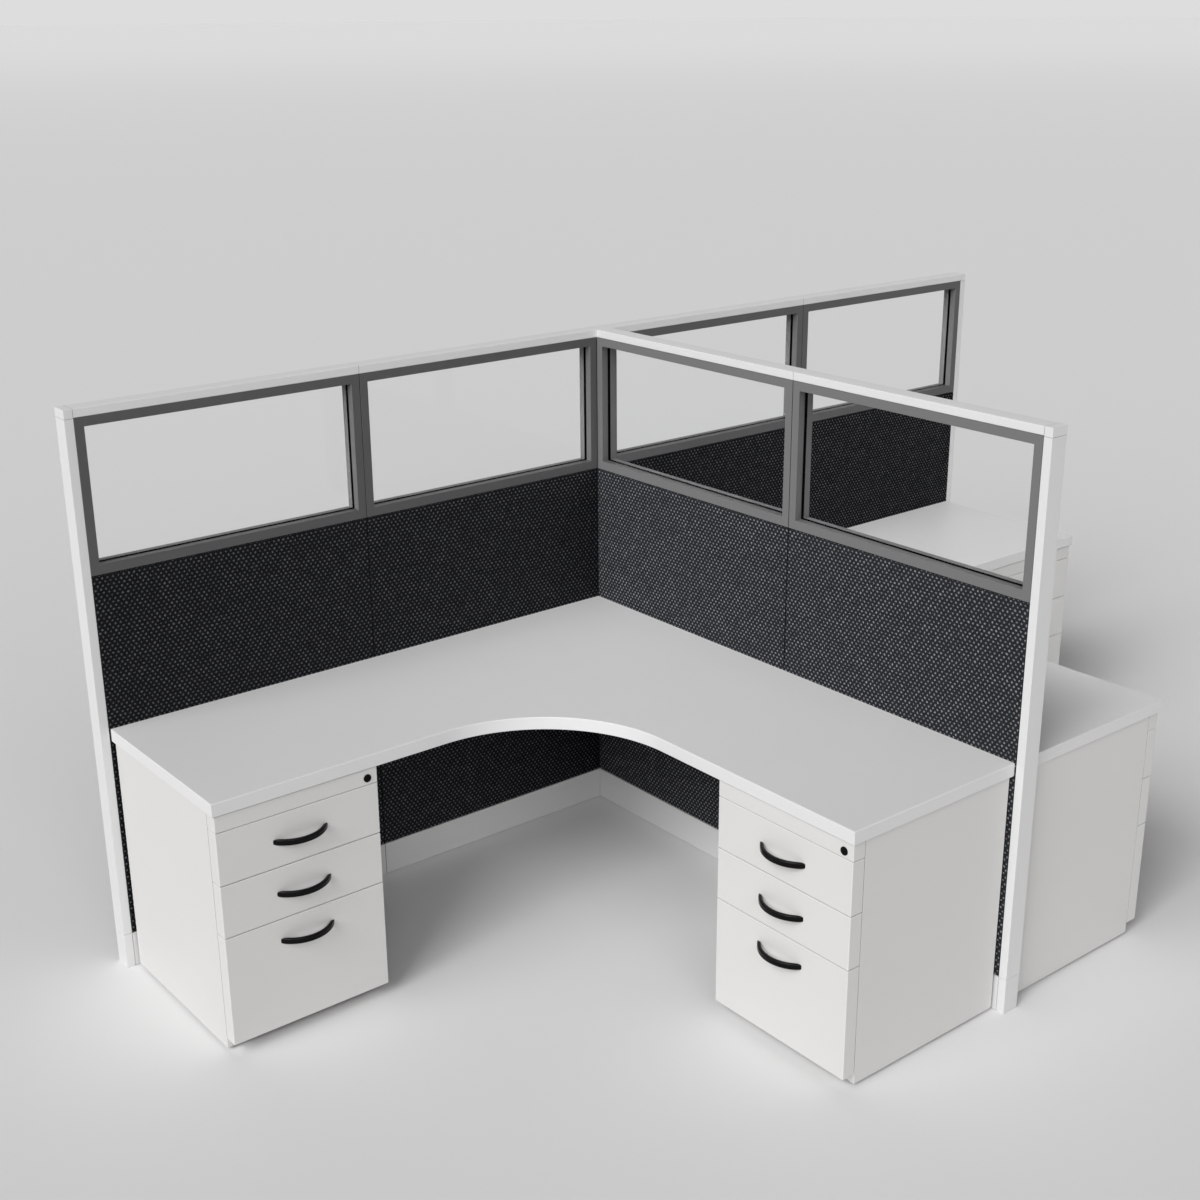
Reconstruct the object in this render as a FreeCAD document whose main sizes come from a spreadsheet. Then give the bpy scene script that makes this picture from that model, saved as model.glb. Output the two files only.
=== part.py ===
"""Two-person cubicle workstation: a T of glazed, fabric-faced panels, two L-shaped
worksurfaces and four box-box-file pedestals.

Frame: X runs along the spine wall, +Y points from the open end of the wing wall to
the spine, Z is up. The origin is the centre of the footprint, on the floor. The
station on -X is the left one, its mirror image on +X the right one. Millimetres.
"""

import FreeCAD
import Part
import math
import os
import Sketcher

SIZES = {
    # Walls
    "wall_thickness": 58.0,
    "panel_module": 883.0,
    "end_post_width": 25.0,
    "overall_height": 1653.0,
    "panel_seam": 2.0,
    "tile_thickness": 14.0,
    "upright_width": 25.0,
    "rail_height": 25.0,
    "tube_wall": 2.0,
    "leg_lift": 20.0,
    "leg_plug": 12.0,
    # Top caps
    "cap_height": 24.5,
    "cap_shadow": 1.5,
    "cap_seat_inset": 2.5,
    "cap_wall": 2.0,
    "cap_seam": 1.0,
    "cap_edge_radius": 2.0,
    # Windows
    "window_face": 26.0,
    "window_sill_face": 28.0,
    "window_height": 379.0,
    "window_wall": 2.0,
    "gasket_width": 12.0,
    "gasket_height": 1.2,
    "glass_thickness": 6.0,
    # Base raceway
    "raceway_top": 107.0,
    "raceway_floor_gap": 1.5,
    "raceway_sheet": 1.5,
    # Posts
    "post_wall": 2.5,
    "post_seam": 1.2,
    # Levelling glides
    "glide_radius": 11.0,
    "glide_foot": 5.0,
    "glide_stem_radius": 5.0,
    # Worksurfaces
    "surface_height": 749.5,
    "surface_thickness": 38.0,
    "surface_depth": 609.0,
    "surface_end_gap": 5.0,
    "surface_back_gap": 0.5,
    "surface_edge_radius": 2.5,
    "cove_radius": 420.0,
    "cleat_reach": 60.0,
    "cleat_drop": 30.0,
    "cleat_length": 45.0,
    "cleat_sheet": 3.0,
    # Pedestal case
    "pedestal_width": 478.0,
    "pedestal_side_inset": 5.5,
    "pedestal_front_inset": 5.0,
    "pedestal_back_gap": 11.0,
    "pedestal_top_gap": 2.5,
    "pedestal_floor_gap": 10.0,
    "gable_thickness": 16.0,
    "case_sheet": 1.2,
    "stiffener_width": 60.0,
    "stiffener_inset": 55.0,
    "kick_setback": 1.5,
    "spacer_size": 40.0,
    "spacer_inset": 60.0,
    "pedestal_glide_inset": 60.0,
    # Pedestal fronts
    "front_depth": 40.5,
    "front_seam": 3.0,
    "front_gap": 2.5,
    "strip_seam": 1.5,
    "strip_height": 46.0,
    "box_front_height": 149.5,
    "file_front_height": 318.0,
    # Drawer boxes
    "drawer_sheet": 1.2,
    "drawer_depth": 520.0,
    "drawer_floor_rise": 14.0,
    "box_side_height": 100.0,
    "file_side_height": 240.0,
    # Slides
    "slide_gauge": 12.0,
    "slide_sheet": 1.5,
    "slide_height": 35.0,
    "slide_lip": 6.5,
    "slide_play": 0.3,
    "slide_length": 500.0,
    "slide_front_gap": 2.0,
    "slide_rise": 22.0,
    # Handles
    "handle_span": 162.0,
    "handle_reach": 40.0,
    "handle_bar_depth": 10.0,
    "handle_bar_height": 17.0,
    "handle_edge_radius": 3.0,
    "file_handle_drop": 62.5,
    # Locks
    "lock_side_inset": 30.5,
    "lock_drop": 26.0,
    "lock_face_radius": 11.5,
    "lock_face_thickness": 2.5,
    "lock_barrel_radius": 8.0,
    "lock_barrel_length": 28.0,
    "lock_collar_radius": 10.5,
    "lock_collar_thickness": 3.0,
    "lock_running_gap": 0.05,
    "lock_cam_length": 15.0,
    "lock_cam_width": 8.0,
    "lock_cam_thickness": 2.0,
    "keyway_width": 1.4,
    "keyway_height": 8.0,
    "keyway_depth": 1.5,
    # Overrun of every cutting tool past the piece it cuts
    "cut_overrun": 5.0,
}

# Places of the worksurface cleats, as shares of the free stretch beside a pedestal
CLEAT_PLACE_SHARES = (0.08, 0.5, 0.92)

doc = FreeCAD.newDocument("CubicleWorkstation")
sheet = doc.addObject("Spreadsheet::Sheet", "Sizes")


class Rule:
    """A length as its value now and as the sum of sheet names that gives it."""

    def __init__(self, value, text):
        self.value = value
        self.text = text

    def __add__(self, other):
        other = as_rule(other)
        return Rule(self.value + other.value, f"({self.text} + {other.text})")

    def __sub__(self, other):
        other = as_rule(other)
        return Rule(self.value - other.value, f"({self.text} - {other.text})")

    def __mul__(self, other):
        other = as_rule(other)
        return Rule(self.value * other.value, f"({self.text} * {other.text})")

    def __truediv__(self, other):
        other = as_rule(other)
        return Rule(self.value / other.value, f"({self.text} / {other.text})")

    def __neg__(self):
        return Rule(-self.value, f"(0 - {self.text})")

    __radd__ = __add__
    __rmul__ = __mul__


def as_rule(number):
    """A plain number or a rule, as a rule."""
    if isinstance(number, Rule):
        return number
    return Rule(float(number), repr(number))


class NamedSizes:
    """Every cell of the sheet as a rule, by its alias."""


def fill_sheet():
    """Write each size into the sheet as text, with its alias."""
    named = NamedSizes()
    for row, (alias, value) in enumerate(SIZES.items(), start=1):
        sheet.set(f"A{row}", alias.replace("_", " "))
        sheet.set(f"B{row}", str(value))
        sheet.setAlias(f"B{row}", alias)
    sheet.recompute()
    for alias in SIZES:
        setattr(named, alias, Rule(float(sheet.get(alias)), f"Sizes.{alias}"))
    return named


size = fill_sheet()


def follow(piece, rules):
    """Bind each property of a piece to its rule."""
    for prop, rule in rules.items():
        piece.setExpression(prop, as_rule(rule).text)


def put(piece, x, y, z):
    """Bind the place of a piece to three rules."""
    follow(piece, {".Placement.Base.x": x, ".Placement.Base.y": y, ".Placement.Base.z": z})
    return piece


def box(name, corner, sides):
    """A plain box from its low corner and its three sides."""
    piece = doc.addObject("Part::Box", name)
    follow(piece, dict(zip(("Length", "Width", "Height"), sides)))
    return put(piece, *corner)


def rod(name, foot, radius, height, turn=None):
    """A cylinder that stands on its foot point, or lies as turned."""
    piece = doc.addObject("Part::Cylinder", name)
    if turn is not None:
        piece.Placement = FreeCAD.Placement(FreeCAD.Vector(), turn)
    follow(piece, {"Radius": radius, "Height": height})
    return put(piece, *foot)


def cut(name, base, tool):
    """One piece less another."""
    piece = doc.addObject("Part::Cut", name)
    piece.Base = base
    piece.Tool = tool
    return piece


def tube(name, corner, sides, along, wall):
    """A rectangular tube, open at both ends along axis number along."""
    inner_corner = [start + wall for start in corner]
    inner_sides = [side - wall * 2 for side in sides]
    inner_corner[along] = corner[along] - size.cut_overrun
    inner_sides[along] = sides[along] + size.cut_overrun * 2
    outer = box(name + "_outside", corner, sides)
    inner = box(name + "_bore", inner_corner, inner_sides)
    return cut(name, outer, inner)


def group(label, pieces, place=None, turn=0.0):
    """Solids that make one piece or set, with the label and place of the sub-part."""
    whole = doc.addObject("Part::Compound", label)
    whole.Label = label
    whole.Links = pieces
    whole.Placement = FreeCAD.Placement(
        FreeCAD.Vector(), FreeCAD.Rotation(FreeCAD.Vector(0, 0, 1), turn)
    )
    if place is not None:
        put(whole, *place)
    return whole


def new_body(name, plane):
    """A body and a sketch on one of its own origin planes."""
    body = doc.addObject("PartDesign::Body", name)
    sketch = body.newObject("Sketcher::SketchObject", name + "_outline")
    support = next(item for item in body.Origin.OriginFeatures if item.Role == plane)
    sketch.AttachmentSupport = [(support, "")]
    sketch.MapMode = "FlatFace"
    return body, sketch


def pin_point(sketch, line, end, across, up):
    """Tie one end of a sketch line or arc to two rules."""
    for kind, rule in (("DistanceX", as_rule(across)), ("DistanceY", as_rule(up))):
        number = sketch.addConstraint(
            Sketcher.Constraint(kind, -1, 1, line, end, rule.value)
        )
        sketch.setExpression(f"Constraints[{number}]", rule.text)


def polygon(sketch, points):
    """A closed outline of straight lines, each corner tied to its rules."""
    flat = [FreeCAD.Vector(as_rule(a).value, as_rule(b).value, 0) for a, b in points]
    count = len(points)
    for index in range(count):
        sketch.addGeometry(Part.LineSegment(flat[index], flat[(index + 1) % count]))
    for index, (across, up) in enumerate(points):
        sketch.addConstraint(
            Sketcher.Constraint("Coincident", (index - 1) % count, 2, index, 1)
        )
        pin_point(sketch, index, 1, across, up)


def pad(body, sketch, length):
    """Pad a sketch by a rule."""
    feature = body.newObject("PartDesign::Pad", body.Name + "_pad")
    feature.Profile = sketch
    follow(feature, {"Length": length})
    sketch.Visibility = False
    doc.recompute()
    return feature


def round_edges(body, base, radius, chosen):
    """Fillet the edges of a feature that pass a test."""
    names = [
        f"Edge{number}"
        for number, edge in enumerate(base.Shape.Edges, start=1)
        if chosen(edge)
    ]
    feature = body.newObject("PartDesign::Fillet", body.Name + "_fillet")
    feature.Base = (base, names)
    follow(feature, {"Radius": radius})
    doc.recompute()
    return feature


# Levels and lengths that several pieces share
half_wall = size.wall_thickness / 2
cap_bottom = size.overall_height - size.cap_height
opening_top = cap_bottom - size.window_face
opening_bottom = opening_top - size.window_height
window_bottom = opening_bottom - size.window_sill_face
tile_bottom = size.raceway_top + size.panel_seam
tile_top = window_bottom - size.panel_seam
frame_depth = size.wall_thickness - size.tile_thickness * 2
spine_middle = size.panel_module
spine_face = spine_middle - half_wall
surface_length = (
    size.panel_module * 2 - size.end_post_width - size.surface_end_gap
)
surface_bottom = size.surface_height - size.surface_thickness
case_top = surface_bottom - size.pedestal_top_gap
case_depth = (
    size.surface_depth
    - size.pedestal_front_inset
    - size.pedestal_back_gap
    - size.front_depth
    - size.front_seam
)
case_front = size.front_depth + size.front_seam
case_back = case_front + case_depth
strip_bottom = case_top - size.strip_height
half_width = size.pedestal_width / 2
inner_half = half_width - size.gable_thickness
drawer_half = inner_half - size.slide_gauge

# Each run is drawn from the T's centre outwards along +X, and turned into place.
# The inner panel is a full module, the outer one gives up the end post's width.
PANELS = {
    "inner": (half_wall, size.panel_module),
    "outer": (half_wall + size.panel_module, size.panel_module - size.end_post_width),
}
RUNS = {"spine_left": 180.0, "spine_right": 0.0, "wing": -90.0}
SIDES = {"front": 1, "back": -1}


def panel_frame(name, start, width):
    """Welded tube frame of one panel: two uprights with plugged legs, and two rails."""
    low_y = -frame_depth / 2
    top = window_bottom
    pieces = []
    for tag, left in (("near", start), ("far", start + width - size.upright_width)):
        corner = (left, low_y, size.leg_lift)
        sides = (size.upright_width, frame_depth, top - size.leg_lift)
        pieces.append(tube(f"{name}_{tag}_upright", corner, sides, 2, size.tube_wall))
        corner = (left + size.tube_wall, low_y + size.tube_wall, size.leg_lift)
        sides = (
            size.upright_width - size.tube_wall * 2,
            frame_depth - size.tube_wall * 2,
            size.leg_plug,
        )
        pieces.append(box(f"{name}_{tag}_plug", corner, sides))
    rail_length = width - size.upright_width * 2
    for tag, low in (("bottom", tile_bottom), ("top", top - size.rail_height)):
        corner = (start + size.upright_width, low_y, low)
        sides = (rail_length, frame_depth, size.rail_height)
        pieces.append(tube(f"{name}_{tag}_rail", corner, sides, 0, size.tube_wall))
    return pieces


def panel_fabric(name, start, width):
    """Two fabric-wrapped tiles and the acoustic core that fills the frame between them."""
    pieces = []
    tile_width = width - size.panel_seam
    for tag, side in SIDES.items():
        low_y = frame_depth / 2 if side > 0 else -half_wall
        corner = (start + size.panel_seam / 2, low_y, tile_bottom)
        sides = (tile_width, size.tile_thickness, tile_top - tile_bottom)
        pieces.append(box(f"{name}_{tag}_tile", corner, sides))
    core_low = tile_bottom + size.rail_height
    core_high = window_bottom - size.rail_height
    corner = (start + size.upright_width, -frame_depth / 2, core_low)
    sides = (width - size.upright_width * 2, frame_depth, core_high - core_low)
    pieces.append(box(f"{name}_core", corner, sides))
    return pieces


def panel_window(name, start, width):
    """Window surround: four hollow members as deep as the wall."""
    left = start + size.panel_seam / 2
    wide = width - size.panel_seam
    inner_left = left + size.window_face
    inner_wide = wide - size.window_face * 2
    full = cap_bottom - window_bottom
    deep = size.wall_thickness
    right = left + wide - size.window_face
    members = {
        "near_stile": ((left, -half_wall, window_bottom), (size.window_face, deep, full), 2),
        "far_stile": ((right, -half_wall, window_bottom), (size.window_face, deep, full), 2),
        "head": ((inner_left, -half_wall, opening_top), (inner_wide, deep, size.window_face), 0),
        "sill": ((inner_left, -half_wall, window_bottom), (inner_wide, deep, size.window_sill_face), 0),
    }
    return [
        tube(f"{name}_{tag}", corner, sides, along, size.window_wall)
        for tag, (corner, sides, along) in members.items()
    ]


def opening_span(start, width):
    """Low end and length of a panel's window opening."""
    edge = size.panel_seam / 2 + size.window_face
    return start + edge, width - edge * 2


def panel_gasket(name, start, width):
    """Glazing gasket: four strips round the opening at mid depth."""
    left, wide = opening_span(start, width)
    low_y = -size.gasket_width / 2
    deep = size.gasket_width
    lip = size.gasket_height
    tall = size.window_height - lip * 2
    return [
        box(f"{name}_gasket_low", (left, low_y, opening_bottom), (wide, deep, lip)),
        box(f"{name}_gasket_high", (left, low_y, opening_top - lip), (wide, deep, lip)),
        box(f"{name}_gasket_near", (left, low_y, opening_bottom + lip), (lip, deep, tall)),
        box(f"{name}_gasket_far", (left + wide - lip, low_y, opening_bottom + lip), (lip, deep, tall)),
    ]


def panel_glass(name, start, width):
    """Pane that stands in the gasket."""
    left, wide = opening_span(start, width)
    lip = size.gasket_height
    corner = (left + lip, -size.glass_thickness / 2, opening_bottom + lip)
    sides = (wide - lip * 2, size.glass_thickness, size.window_height - lip * 2)
    return [box(f"{name}_pane", corner, sides)]


def panel_cap(name, start, width):
    """Top cap: a channel on two set-back legs, so that a shadow line runs under its edges."""
    body, sketch = new_body(f"{name}_cap", "YZ_Plane")
    seat = half_wall - size.cap_seat_inset
    hollow = seat - size.cap_wall
    ceiling = size.cap_height - size.cap_wall
    points = [
        (-seat, 0),
        (-hollow, 0),
        (-hollow, ceiling),
        (hollow, ceiling),
        (hollow, 0),
        (seat, 0),
        (seat, size.cap_shadow),
        (half_wall, size.cap_shadow),
        (half_wall, size.cap_height),
        (-half_wall, size.cap_height),
        (-half_wall, size.cap_shadow),
        (-seat, size.cap_shadow),
    ]
    polygon(sketch, points)
    base = pad(body, sketch, width - size.cap_seam)
    high = size.cap_height.value
    reach = half_wall.value
    round_edges(
        body,
        base,
        size.cap_edge_radius,
        lambda edge: edge.Length > reach * 2
        and all(math.isclose(v.Z, high) and math.isclose(abs(v.Y), reach) for v in edge.Vertexes),
    )
    put(body, start + size.cap_seam / 2, 0, cap_bottom)
    return [body]


def panel_raceway(name, start, width):
    """Base raceway covers, one each side: folded sheet whose lips rest on the legs."""
    pieces = []
    tall = size.raceway_top - size.raceway_floor_gap
    for tag, side in SIDES.items():
        body, sketch = new_body(f"{name}_{tag}_cover", "YZ_Plane")
        outer = half_wall * side
        skin = (half_wall - size.raceway_sheet) * side
        inner = frame_depth / 2 * side
        points = [
            (outer, 0),
            (outer, tall),
            (inner, tall),
            (inner, tall - size.raceway_sheet),
            (skin, tall - size.raceway_sheet),
            (skin, size.raceway_sheet),
            (inner, size.raceway_sheet),
            (inner, 0),
        ]
        polygon(sketch, points)
        pad(body, sketch, width - size.panel_seam)
        put(body, start + size.panel_seam / 2, 0, size.raceway_floor_gap)
        pieces.append(body)
    return pieces


def panel_glides(name, start, width):
    """Levelling glides, a foot and a stem under each leg of a panel frame."""
    pieces = []
    edge = size.upright_width / 2
    for tag, middle in (("near", start + edge), ("far", start + width - edge)):
        pieces += glide(f"{name}_{tag}", middle, 0, size.leg_lift)
    return pieces


def glide(name, x, y, reach):
    """One glide: a round foot on the floor and a stem up to what it carries."""
    foot = rod(f"{name}_foot", (x, y, 0), size.glide_radius, size.glide_foot)
    stem_length = reach - size.glide_foot
    stem = rod(f"{name}_stem", (x, y, size.glide_foot), size.glide_stem_radius, stem_length)
    return [foot, stem]


def end_post():
    """End post of a run: a square-cut hollow post on a base piece of raceway height."""
    start = half_wall + size.panel_module * 2 - size.end_post_width
    return post_pieces("end_post", start, size.end_post_width)


def post_pieces(name, start, width):
    """Hollow post and base piece, parted by a fine seam."""
    low = size.raceway_top + size.post_seam
    column = tube(
        name + "_column",
        (start, -half_wall, low),
        (width, size.wall_thickness, cap_bottom - size.post_seam - low),
        2,
        size.post_wall,
    )
    base = tube(
        name + "_base",
        (start, -half_wall, as_rule(0)),
        (width, size.wall_thickness, size.raceway_top),
        2,
        size.post_wall,
    )
    return [column, base]


def post_cap(name, start, width):
    """Solid cap on a post, with its top edges eased."""
    body, sketch = new_body(name, "XY_Plane")
    points = [
        (start, -half_wall),
        (start + width, -half_wall),
        (start + width, half_wall),
        (start, half_wall),
    ]
    polygon(sketch, points)
    base = pad(body, sketch, size.cap_height + size.post_seam)
    high = (size.cap_height + size.post_seam).value
    far = (start + width).value
    round_edges(
        body,
        base,
        size.cap_edge_radius,
        lambda edge: all(
            math.isclose(v.Z, high) and math.isclose(v.X, far) for v in edge.Vertexes
        ),
    )
    put(body, 0, 0, cap_bottom - size.post_seam)
    return body


def all_panels(make, name):
    """The pieces of one kind for both panels of a run."""
    return [
        piece
        for tag, (start, width) in PANELS.items()
        for piece in make(f"{tag}_{name}", start, width)
    ]


def build_walls():
    """Three equal runs that meet in a T, each from the same drawn pieces."""
    centre = (0, spine_middle, 0)
    nodes = []
    frames = all_panels(panel_frame, "frame")
    fabric = all_panels(panel_fabric, "fabric")
    windows = all_panels(panel_window, "window")
    covers = all_panels(panel_raceway, "raceway")
    post = end_post()
    shared = {
        "window_glass": all_panels(panel_glass, "glass"),
        "window_gaskets": all_panels(panel_gasket, "glazing"),
        "panel_caps": all_panels(panel_cap, "top"),
    }
    for run, turn in RUNS.items():
        nodes.append(group(f"{run}_panel_frames", frames, centre, turn))
        nodes.append(group(f"{run}_fabric_tiles", fabric, centre, turn))
        nodes.append(group(f"{run}_window_frames", windows, centre, turn))
        nodes.append(group(f"{run}_raceway_covers", covers, centre, turn))
        nodes.append(group(f"{run}_end_post", post, centre, turn))
    for label, pieces in shared.items():
        turned = [
            group(f"{run}_{label}_set", pieces, centre, turn) for run, turn in RUNS.items()
        ]
        nodes.append(group(label, turned))
    nodes.append(
        group("junction_post", post_pieces("junction", -half_wall, size.wall_thickness), centre)
    )
    start = half_wall + size.panel_module * 2 - size.end_post_width
    end_cap = post_cap("end_post_cap", start, size.end_post_width)
    caps = [group(f"{run}_post_cap", [end_cap], centre, turn) for run, turn in RUNS.items()]
    junction_cap = box(
        "junction_cap",
        (-half_wall, -half_wall, cap_bottom - size.post_seam),
        (size.wall_thickness, size.wall_thickness, size.cap_height + size.post_seam),
    )
    caps.append(group("junction_post_cap", [junction_cap], centre))
    nodes.append(group("post_caps", caps))
    return nodes


def build_worksurfaces():
    """Two mirrored L-shaped tops with a coved inner front, and the cleats under them."""
    body, sketch = new_body("worksurface_left", "XY_Plane")
    body.Label = "worksurface_left"
    wing_edge = -half_wall - size.surface_back_gap
    spine_edge = spine_face - size.surface_back_gap
    far_x = -half_wall - surface_length
    far_y = spine_face - surface_length
    front_x = -half_wall - size.surface_depth
    front_y = spine_face - size.surface_depth
    corners = [
        (front_x - size.cove_radius, front_y),
        (far_x, front_y),
        (far_x, spine_edge),
        (wing_edge, spine_edge),
        (wing_edge, far_y),
        (front_x, far_y),
        (front_x, front_y - size.cove_radius),
    ]
    flat = [FreeCAD.Vector(a.value, b.value, 0) for a, b in corners]
    for start, end in zip(flat, flat[1:]):
        sketch.addGeometry(Part.LineSegment(start, end))
    for index, (across, up) in enumerate(corners[:-1]):
        if index:
            sketch.addConstraint(Sketcher.Constraint("Coincident", index - 1, 2, index, 1))
        pin_point(sketch, index, 1, across, up)
    last = len(corners) - 2
    pin_point(sketch, last, 2, *corners[-1])
    centre = FreeCAD.Vector(flat[0].x, flat[-1].y, 0)
    ring = Part.Circle(centre, FreeCAD.Vector(0, 0, 1), size.cove_radius.value)
    arc = sketch.addGeometry(Part.ArcOfCircle(ring, 0.0, math.pi / 2))
    sketch.addConstraint(Sketcher.Constraint("Coincident", arc, 1, last, 2))
    sketch.addConstraint(Sketcher.Constraint("Coincident", arc, 2, 0, 1))
    number = sketch.addConstraint(Sketcher.Constraint("Radius", arc, size.cove_radius.value))
    sketch.setExpression(f"Constraints[{number}]", size.cove_radius.text)
    base = pad(body, sketch, size.surface_thickness)
    wall_x = wing_edge.value
    wall_y = spine_edge.value

    def shows(edge):
        """True for a level edge that lies along no wall."""
        box_of = edge.BoundBox
        level = math.isclose(box_of.ZMin, box_of.ZMax, abs_tol=1e-6)
        on_wing = math.isclose(box_of.XMin, wall_x, abs_tol=1e-6)
        on_spine = math.isclose(box_of.YMin, wall_y, abs_tol=1e-6)
        return level and not on_wing and not on_spine

    round_edges(body, base, size.surface_edge_radius, shows)
    put(body, 0, 0, surface_bottom)
    mirrored = doc.addObject("Part::Mirroring", "worksurface_right")
    mirrored.Label = "worksurface_right"
    mirrored.Source = body
    mirrored.Base = FreeCAD.Vector(0, 0, 0)
    mirrored.Normal = FreeCAD.Vector(1, 0, 0)
    return [body, mirrored, build_cleats()]


def build_cleats():
    """Folded steel cleats that carry each top along the walls, between the pedestals."""
    free = surface_length - size.pedestal_side_inset - size.pedestal_width
    pieces = []
    for number, share in enumerate(CLEAT_PLACE_SHARES, start=1):
        for tag, side in SIDES.items():
            middle = half_wall + free * share
            low = middle - size.cleat_length / 2
            leg_y = half_wall if side > 0 else -half_wall - size.cleat_sheet
            shelf_y = half_wall + size.cleat_sheet if side > 0 else -half_wall - size.cleat_reach
            name = f"cleat_{number}_{tag}"
            leg = (size.cleat_length, size.cleat_sheet, size.cleat_drop)
            shelf = (size.cleat_length, size.cleat_reach - size.cleat_sheet, size.cleat_sheet)
            pieces.append(box(f"{name}_leg", (low, leg_y, surface_bottom - size.cleat_drop), leg))
            pieces.append(box(f"{name}_shelf", (low, shelf_y, surface_bottom - size.cleat_sheet), shelf))
    centre = (0, spine_middle, 0)
    on_left = [piece for piece in pieces if "_front_" in piece.Name]
    on_right = [piece for piece in pieces if "_back_" in piece.Name]
    sets = [
        group("spine_left_cleats", on_left, centre, RUNS["spine_left"]),
        group("spine_right_cleats", on_right, centre, RUNS["spine_right"]),
        group("wing_cleats", pieces, centre, RUNS["wing"]),
    ]
    return group("worksurface_cleats", sets)


# Pedestals are drawn about the middle of their front face, +Y to the rear, with the
# lock on the +X side. Those on the right station carry it on the -X side.
FRONTS = {
    "top": (size.box_front_height, size.box_side_height),
    "middle": (size.box_front_height, size.box_side_height),
    "file": (size.file_front_height, size.file_side_height),
}


def front_levels():
    """Bottom level of each drawer front, from the lock strip down."""
    levels = {}
    top = strip_bottom - size.strip_seam
    for tag, (height, _) in FRONTS.items():
        levels[tag] = top - height
        top = levels[tag] - size.front_gap
    return levels


LEVELS = front_levels()
case_floor = LEVELS["file"]


def sheet_pan(name, low_z, height, rear):
    """Sides, top and bottom folds of a front, from behind its face plate to rear."""
    skin = size.case_sheet
    deep = rear - skin
    wide = size.pedestal_width - skin * 2
    return [
        box(f"{name}_left_fold", (-half_width, skin, low_z), (skin, deep, height)),
        box(f"{name}_right_fold", (half_width - skin, skin, low_z), (skin, deep, height)),
        box(f"{name}_low_fold", (-half_width + skin, skin, low_z), (wide, deep, skin)),
        box(f"{name}_high_fold", (-half_width + skin, skin, low_z + height - skin), (wide, deep, skin)),
    ]


def case_pieces():
    """Case: two double-skin gables, top, back, floor, kick plate, top spacers."""
    skin = size.case_sheet
    tall = case_top - size.pedestal_floor_gap
    wide = size.pedestal_width - skin * 2
    inner_tall = case_top - skin - case_floor - skin
    low = case_floor + skin
    pieces = [
        box("case_top", (-half_width + skin, case_front, case_top - skin), (wide, case_depth - skin, skin)),
        box(
            "case_back",
            (-half_width + skin, case_back - skin, size.pedestal_floor_gap),
            (wide, skin, tall),
        ),
        box("case_floor", (-half_width + skin, case_front, case_floor), (wide, case_depth - skin, skin)),
        box(
            "case_kick",
            (-half_width + skin, case_front + size.kick_setback, size.pedestal_floor_gap),
            (wide, skin, case_floor - size.pedestal_floor_gap),
        ),
    ]
    web = size.gable_thickness - skin * 2
    for tag, side in (("left", -1), ("right", 1)):
        outer = -half_width if side < 0 else half_width - skin
        core = -half_width + skin if side < 0 else half_width - size.gable_thickness
        inner = -inner_half - skin if side < 0 else inner_half
        ribs = -half_width + skin if side < 0 else inner_half + skin
        flange = size.gable_thickness - skin
        pieces.append(
            box(f"case_{tag}_gable", (outer, case_front, size.pedestal_floor_gap), (skin, case_depth, tall))
        )
        pieces.append(box(f"case_{tag}_flange", (core, case_front, low), (flange, skin, inner_tall)))
        for spot, start in (
            ("front", case_front + size.stiffener_inset),
            ("rear", case_back - size.stiffener_inset - size.stiffener_width),
        ):
            name = f"case_{tag}_{spot}_stiffener"
            pieces.append(box(name, (inner, start, low), (skin, size.stiffener_width, inner_tall)))
            middle = start + size.stiffener_width / 2 - skin / 2
            pieces.append(box(name + "_web", (ribs, middle, low), (web, skin, inner_tall)))
    for tag, x in (("left", -half_width + size.spacer_inset), ("right", half_width - size.spacer_inset)):
        for spot, y in (("front", case_front + size.spacer_inset), ("rear", case_back - size.spacer_inset)):
            half = size.spacer_size / 2
            corner = (x - half, y - half, case_top)
            sides = (size.spacer_size, size.spacer_size, size.pedestal_top_gap)
            pieces.append(box(f"case_{tag}_{spot}_spacer", corner, sides))
    return pieces


def strip_pieces():
    """Lock strip above the drawers: a face plate bored for the lock, folded back to the case."""
    skin = size.case_sheet
    plate = box(
        "strip_blank", (-half_width, 0, strip_bottom), (size.pedestal_width, skin, size.strip_height)
    )
    bore = rod(
        "strip_bore",
        (half_width - size.lock_side_inset, -size.cut_overrun, case_top - size.lock_drop),
        size.lock_barrel_radius + size.lock_running_gap,
        skin + size.cut_overrun * 2,
        FreeCAD.Rotation(FreeCAD.Vector(1, 0, 0), -90),
    )
    folds = sheet_pan("strip", strip_bottom, size.strip_height, size.front_depth)
    tie = box(
        "strip_tie",
        (-half_width + size.gable_thickness, size.front_depth, case_top - skin),
        (inner_half * 2, size.front_seam, skin),
    )
    return [cut("strip_plate", plate, bore)] + folds + [tie]


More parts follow.
